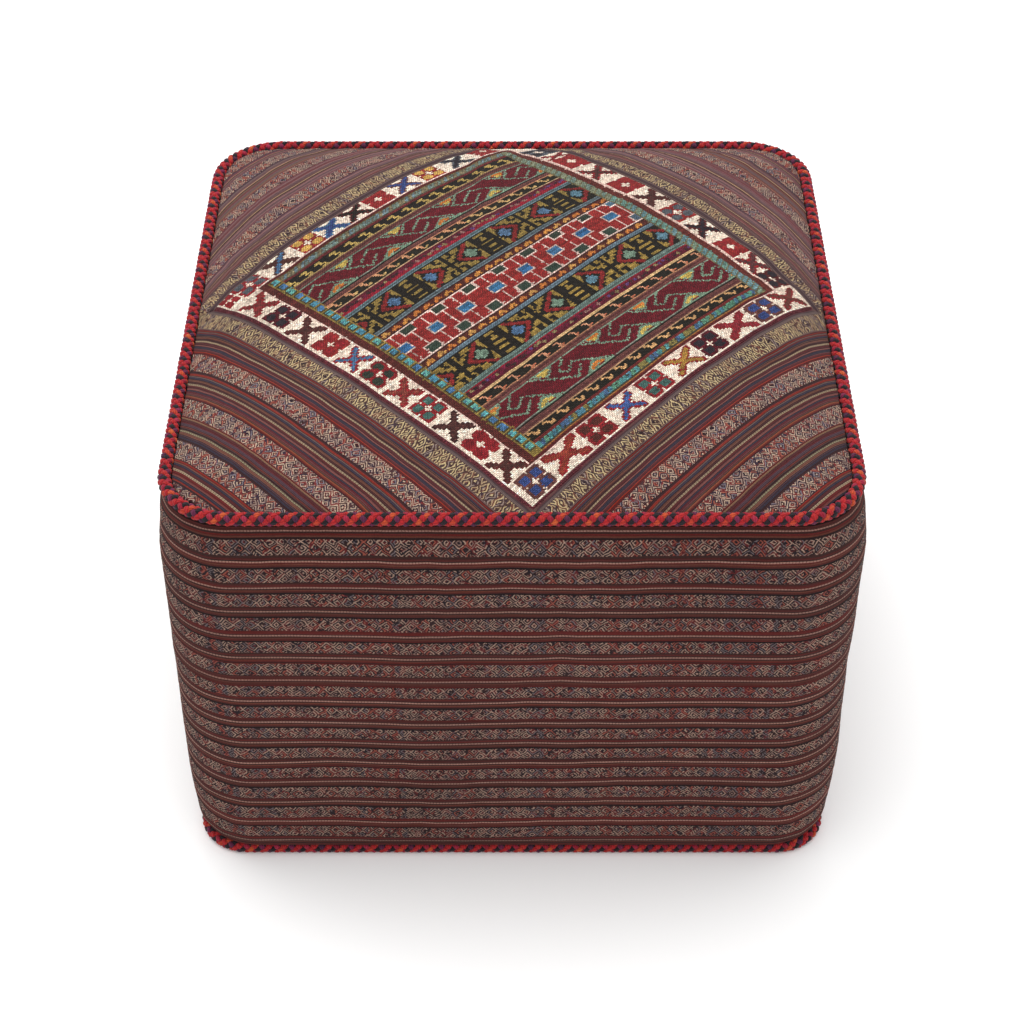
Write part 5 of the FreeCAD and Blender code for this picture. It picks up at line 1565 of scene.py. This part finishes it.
def cloth_material(name, colour, pitch=0.0006, bump=0.0003, rough=0.85, sheen=0.05, vary=0.12):
    """Plain weave on object coordinates, for base cloth, tapes and linings."""
    n = Nodes(name)
    co = n.object_coords()
    sep = n.t.nodes.new("ShaderNodeSeparateXYZ")
    n.t.links.new(co, sep.inputs[0])
    k = math.pi / pitch
    a = n.math("SINE", n.math("MULTIPLY", sep.outputs[0], k))
    b = n.math("SINE", n.math("MULTIPLY", sep.outputs[1], k))
    c3 = n.math("SINE", n.math("MULTIPLY", sep.outputs[2], k))
    w = n.math("MULTIPLY", a, n.math("ADD", b, c3))
    fibre = n.noise(1200.0, 3.0, 0.6, co)
    broad = n.noise(9.0, 3.0, 0.6, co)
    col = n.hsv(lin(colour), n.math("ADD", 1 - vary, n.math("MULTIPLY", n.math("ADD", fibre, broad), vary)), 1.0)
    h = n.math("ADD", n.math("MULTIPLY", w, 0.5), n.math("MULTIPLY", fibre, 0.5))
    return n.finish(col, n.math("ADD", rough - 0.08, n.math("MULTIPLY", fibre, 0.14)), n.bump(h, bump, 0.7), sheen=sheen, specular=0.2)


def puffy_material(name, colour, scale, bump, rough=0.9, cells=False):
    n = Nodes(name)
    co = n.object_coords()
    if cells:
        vor = n.t.nodes.new("ShaderNodeTexVoronoi")
        n.put(vor.inputs["Vector"], co)
        vor.inputs["Scale"].default_value = scale
        h = vor.outputs["Distance"]
    else:
        h = n.noise(scale, 5.0, 0.7, co)
    broad = n.noise(7.0, 3.0, 0.6, co)
    # painted shade: the value follows the bump height h, darker in the hollows; the broad noise adds random tone
    col = n.hsv(lin(colour), n.math("ADD", 0.86, n.math("MULTIPLY", n.math("ADD", h, broad), 0.14)), 1.0)
    return n.finish(col, rough, n.bump(h, bump, 0.8), sheen=0.1, specular=0.15)


def metal_material(name, colour, rough):
    n = Nodes(name)
    co = n.object_coords()
    scratch = n.noise(420.0, 4.0, 0.7, co, distortion=0.6)
    wear = n.noise(60.0, 3.0, 0.6, co)
    col = n.mix(n.math("MULTIPLY", wear, 0.5), lin(colour), lin(tuple(0.7 * c for c in colour)))
    r = n.math("ADD", rough - 0.06, n.math("MULTIPLY", scratch, 0.18))
    return n.finish(col, r, n.bump(scratch, 0.00005, 0.5), sheen=0.0, metallic=1.0, specular=0.5)


def nylon_material(name, colour):
    n = Nodes(name)
    co = n.object_coords()
    sep = n.t.nodes.new("ShaderNodeSeparateXYZ")
    n.t.links.new(co, sep.inputs[0])
    coil = n.math("ABSOLUTE", n.math("SINE", n.math("MULTIPLY", sep.outputs[0], math.pi / 0.0013)))
    # painted shade: the value drops between the turns of the coil
    col = n.hsv(lin(colour), n.math("ADD", 0.8, n.math("MULTIPLY", coil, 0.3)), 1.0)
    return n.finish(col, 0.42, n.bump(coil, 0.0006, 0.9), sheen=0.0, specular=0.45)


SLOT_MATERIALS = {
    "base_cloth": cloth_material("base_cloth_weave", (58, 40, 40)),
    "zip_tape": cloth_material("zip_tape_weave", (44, 32, 34), pitch=0.0005, bump=0.0002, rough=0.8),
    "zip_nylon": nylon_material("zip_coil_nylon", (40, 30, 32)),
    "zip_metal": metal_material("zip_antique_brass", (150, 118, 76), 0.38),
    "calico": cloth_material("calico_weave", (206, 196, 174), pitch=0.0007),
    "foam": puffy_material("foam_cells", (214, 206, 178), 900.0, 0.0006, cells=True),
    "wadding": puffy_material("wadding_fibre", (232, 230, 224), 240.0, 0.0016),
    # painted shade: the interlining is dark brown so that a gap beside the top panels reads as shadow
    "interlining": cloth_material("interlining_dark_as_painted_shade", (78, 52, 48), pitch=0.0009),
    # painted shade: the filler cord is dark red rather than white, so glimpses of it between the braid's strands read
    # as shade
    "cotton_cord": cloth_material("filler_cord_dark_as_painted_shade", (92, 44, 44), pitch=0.0011, bump=0.0005),
}
PIECE_SLOTS = {
    "top_braid_core": "cotton_cord", "bottom_braid_core": "cotton_cord",
    "zip_tape_front": "zip_tape", "zip_tape_back": "zip_tape", "zip_chain_front": "zip_nylon", "zip_chain_back": "zip_nylon",
    "zip_stop_closed_end": "zip_metal", "zip_stop_open_end": "zip_metal", "zip_slider": "zip_metal", "zip_pull": "zip_metal",
    "inner_bag_body": "calico", "inner_bag_top": "calico", "foam_base_layer": "foam", "foam_middle_layer": "foam",
    "foam_top_layer": "foam", "wadding_crown": "wadding", "wadding_side_wrap": "wadding", "top_interlining": "interlining",
    "base_panel_front": "base_cloth", "base_panel_back": "base_cloth",
}
for name, slot_name in PIECE_SLOTS.items():
    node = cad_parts[name]
    me = node.data
    if len(me.materials) == 0:
        me.materials.append(None)
    for i in range(len(node.material_slots)):
        node.material_slots[i].link = "OBJECT"
        node.material_slots[i].material = SLOT_MATERIALS[slot_name]


# --------------------------------------------------------------- base panels
def base_panel(name, node, sy):
    """Half of the base cloth: drawn tight at its edges, sagging a little between them,
    with a hem folded along the zip."""
    half, corner = 237.4, 28.2
    xs = np.concatenate([np.linspace(-half, half, 96)])
    ys = np.concatenate([[0.25, 1.2, 3.0, 5.0, 5.9, 6.3, 6.9, 8.0], np.linspace(12, half, 44)])
    X, Yg = np.meshgrid(xs, ys)
    sag_noise = Noise(91 if sy > 0 else 92, 55)
    edge = np.clip(half - np.maximum(np.abs(X), Yg), 0, 60) / 60.0
    slit = np.abs(X) < 200.0
    # the edge of the slit stands 6 mm back from the middle
    Ys = np.where(slit & (Yg < 6.2), 6.2 + 0.02 * Yg, Yg)
    z = 7.35 - 0.25 * smooth_step(edge, 0, 1) * (1 + 0.6 * sag_noise(X + 600, Yg + 600))
    fold = np.exp(-((Ys - 7.2) / 1.4) ** 2) * np.where(slit, 1, 0)
    z = z - 0.15 * fold
    # round corners, kept inside the bottom cord
    qx, qy = np.clip(np.abs(X) - (half - corner), 0, corner), np.clip(Ys - (half - corner), 0, corner)
    X = X - np.sign(X) * qx * (1 - np.sqrt(1 - (qy / corner) ** 2 / 2))
    Ys = Ys - qy * (1 - np.sqrt(1 - (qx / corner) ** 2 / 2))
    lowv = np.stack([X, sy * Ys, z], -1)
    hiv = np.stack([X, sy * Ys, np.full_like(z, 8.3)], -1)
    ny, nx = X.shape
    verts = np.concatenate([lowv.reshape(-1, 3), hiv.reshape(-1, 3)])
    idx = np.arange(nx * ny).reshape(ny, nx)
    a = np.stack([idx[:-1, :-1], idx[1:, :-1], idx[1:, 1:], idx[:-1, 1:]], -1).reshape(-1, 4)
    off = nx * ny
    faces = [tuple(f) for f in a] + [tuple(off + f[::-1]) for f in a]
    rim = list(idx[0, :]) + list(idx[1:, -1]) + list(idx[-1, -2::-1]) + list(idx[-2:0:-1, 0])
    for k in range(len(rim)):
        p, q = rim[k], rim[(k + 1) % len(rim)]
        faces.append((q, p, off + p, off + q))
    if sy < 0:
        faces = [f[::-1] for f in faces]
    ob = new_object(name, verts, faces)
    shade(ob, SLOT_MATERIALS["base_cloth"])
    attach(ob, "pouf")
    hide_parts(node)
    return ob


bases = [base_panel("base_cloth_front", "base_panel_front", -1), base_panel("base_cloth_back", "base_panel_back", 1)]

# -------------------------------------------------------- floor, light, camera
floor_mat = Nodes("studio_floor")
fn = floor_mat.noise(2.0, 3.0, 0.5)
floor_mat.finish(floor_mat.mix(floor_mat.math("MULTIPLY", fn, 0.25), (0.97, 0.97, 0.97), (0.95, 0.95, 0.95)), 0.9, None, sheen=0.0, specular=0.1)
fl = new_object("floor", [(-9000, -9000, 0), (9000, -9000, 0), (9000, 9000, 0), (-9000, 9000, 0)], [(0, 1, 2, 3)], smooth=False)
shade(fl, floor_mat.mat)

world = bpy.data.worlds.new("studio")
world.use_nodes = True
world.node_tree.nodes["Background"].inputs[0].default_value = (1.0, 1.0, 1.0, 1.0)
world.node_tree.nodes["Background"].inputs[1].default_value = 1.0
bpy.context.scene.world = world


def area(name, loc, target, size, power, colour=(1, 1, 1)):
    d = bpy.data.lights.new(name, "AREA")
    d.shape = "RECTANGLE"
    d.size, d.size_y = size
    d.energy = power
    d.color = colour
    o = bpy.data.objects.new(name, d)
    o.location = loc
    v = np.array(target, float) - np.array(loc, float)
    v /= np.linalg.norm(v)
    from mathutils import Vector
    o.rotation_euler = Vector(v).to_track_quat("-Z", "Y").to_euler()
    bpy.context.scene.collection.objects.link(o)
    return o


area("overhead_softbox", (-0.3, 0.5, 2.6), (0, 0.05, 0.2), (2.2, 2.2), 50.0, (1.0, 0.995, 0.985))
area("front_fill", (0.6, -3.0, 1.2), (0, 0, 0.2), (2.0, 1.2), 8.0)

cam = bpy.data.cameras.new("camera")
cam.lens = 81.17
cam.sensor_width = 36.0
cam.clip_start, cam.clip_end = 0.05, 50
camera = bpy.data.objects.new("camera", cam)
E, D = 0.70012, 1.922
camera.location = (0.0, -D * math.cos(E), 0.1454 + D * math.sin(E))
camera.rotation_euler = (math.pi / 2 - E, 0.0, 0.0)
bpy.context.scene.collection.objects.link(camera)
bpy.context.scene.camera = camera
bpy.context.scene.view_settings.view_transform = "Standard"


def plain(b):
    return [[float(v) for v in p] for p in b]
